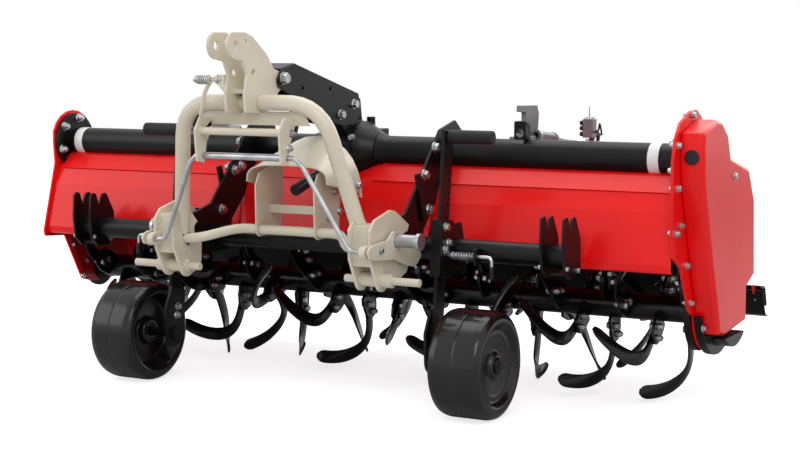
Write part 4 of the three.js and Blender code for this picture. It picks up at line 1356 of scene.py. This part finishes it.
@dataclass
class Studio:
    """The pale floor, soft lights, white surroundings and the camera."""

    camera_place: tuple[float, float, float] = (2.814, -4.691, 1.114)
    azimuth: float = 28.94
    elevation: float = 5.97
    lens: float = 72.12
    world_level: float = 0.62
    floor_radius: float = 14.0
    floor_level: float = -0.0015
    floor_glow: float = 0.74
    corners: int = 96

    def build(self) -> None:
        """Makes the studio."""
        scene = bpy.context.scene
        scene.view_settings.view_transform = "Standard"
        self.make_world()
        self.make_floor()
        self.make_lights()
        self.make_camera()

    def make_camera(self) -> None:
        """Makes the camera: its back points along the azimuth and elevation."""
        a, e = math.radians(self.azimuth), math.radians(self.elevation)
        back = Vector((math.sin(a) * math.cos(e), -math.cos(a) * math.cos(e), math.sin(e)))
        data = bpy.data.cameras.new("camera")
        data.lens = self.lens
        data.sensor_width = 36.0
        camera = bpy.data.objects.new("camera", data)
        camera.location = self.camera_place
        camera.rotation_mode = "QUATERNION"
        camera.rotation_quaternion = (-back).to_track_quat("-Z", "Y")
        bpy.context.scene.collection.objects.link(camera)
        bpy.context.scene.camera = camera

    def make_world(self) -> None:
        """Makes the surroundings: white where they are seen or mirrored, softer where they give light."""
        world = bpy.data.worlds.new("surroundings")
        bpy.context.scene.world = world
        world.use_nodes = True
        nodes, links = world.node_tree.nodes, world.node_tree.links
        nodes.clear()
        rays = nodes.new("ShaderNodeLightPath")
        mirrored = nodes.new("ShaderNodeMath")
        mirrored.operation = "MAXIMUM"
        links.new(rays.outputs["Is Glossy Ray"], mirrored.inputs[0])
        links.new(rays.outputs["Is Transmission Ray"], mirrored.inputs[1])
        seen = nodes.new("ShaderNodeMath")
        seen.operation = "MAXIMUM"
        links.new(rays.outputs["Is Camera Ray"], seen.inputs[0])
        links.new(mirrored.outputs[0], seen.inputs[1])
        level = nodes.new("ShaderNodeMapRange")
        level.inputs["To Min"].default_value = self.world_level
        level.inputs["To Max"].default_value = 1.0
        links.new(seen.outputs[0], level.inputs["Value"])
        background = nodes.new("ShaderNodeBackground")
        background.inputs["Color"].default_value = (1.0, 1.0, 1.0, 1.0)
        links.new(level.outputs["Result"], background.inputs["Strength"])
        output = nodes.new("ShaderNodeOutputWorld")
        links.new(background.outputs[0], output.inputs["Surface"])

    def make_floor(self) -> None:
        """Makes the floor: a flat disc just below the wheels, which glows where the camera sees it."""
        c, s = turned(np.linspace(0, 2 * np.pi, self.corners, endpoint=False))
        level = np.full(self.corners, self.floor_level)
        rim = np.column_stack([self.floor_radius * c, self.floor_radius * s, level])
        mesh = bpy.data.meshes.new("floor")
        mesh.from_pydata(rim.tolist(), [], [tuple(range(self.corners))])
        floor = bpy.data.objects.new("floor", mesh)
        bpy.context.scene.collection.objects.link(floor)
        sheet = Sheet("pale_floor")
        speckle = sheet.noise(60.0, 4.0)
        colour = sheet.blend(speckle, linear(206, 206, 206), linear(212, 212, 212))
        diffuse = sheet.node("ShaderNodeBsdfDiffuse", {}, {"Color": colour})
        camera = sheet.node("ShaderNodeLightPath", {}, {}, "Is Camera Ray")
        strength = camera * self.floor_glow
        glow = sheet.node("ShaderNodeEmission", {}, {"Color": (1, 1, 1, 1), "Strength": strength})
        sheet.node_output(sheet.node("ShaderNodeAddShader", {}, {0: diffuse, 1: glow}))
        mesh.materials.append(sheet.material)

    def make_lights(self) -> None:
        """Makes the soft lamps."""
        lamps = [
            ("key", (3.5, -4.5, 4.5), 3.2, 110.0),
            ("fill", (-4.5, -3.5, 3.0), 3.5, 60.0),
            ("top", (0.0, 0.8, 4.8), 4.0, 90.0),
            ("rim", (1.0, 5.0, 3.0), 3.0, 50.0),
        ]
        for name, place, size, power in lamps:
            data = bpy.data.lights.new(name, "AREA")
            data.size = size
            data.energy = power
            lamp = bpy.data.objects.new(name, data)
            lamp.location = place
            aim = Vector((0, 0, 0.5)) - Vector(place)
            lamp.rotation_euler = aim.to_track_quat("-Z", "Y").to_euler()
            bpy.context.scene.collection.objects.link(lamp)


def main() -> None:
    """Builds every sub-assembly in order."""
    logging.basicConfig(level=logging.INFO, format="%(name)s: %(message)s")
    for part in (MainBeam(), HitchPlates(), GaugeWheels(), Hood(), ChainCase(), Rotor(), LevellingBoard(),
                 QuickHitch(), Studio()):
        part.build()
        LOG.info("%s built", type(part).__name__)


if __name__ == "__main__":
    main()
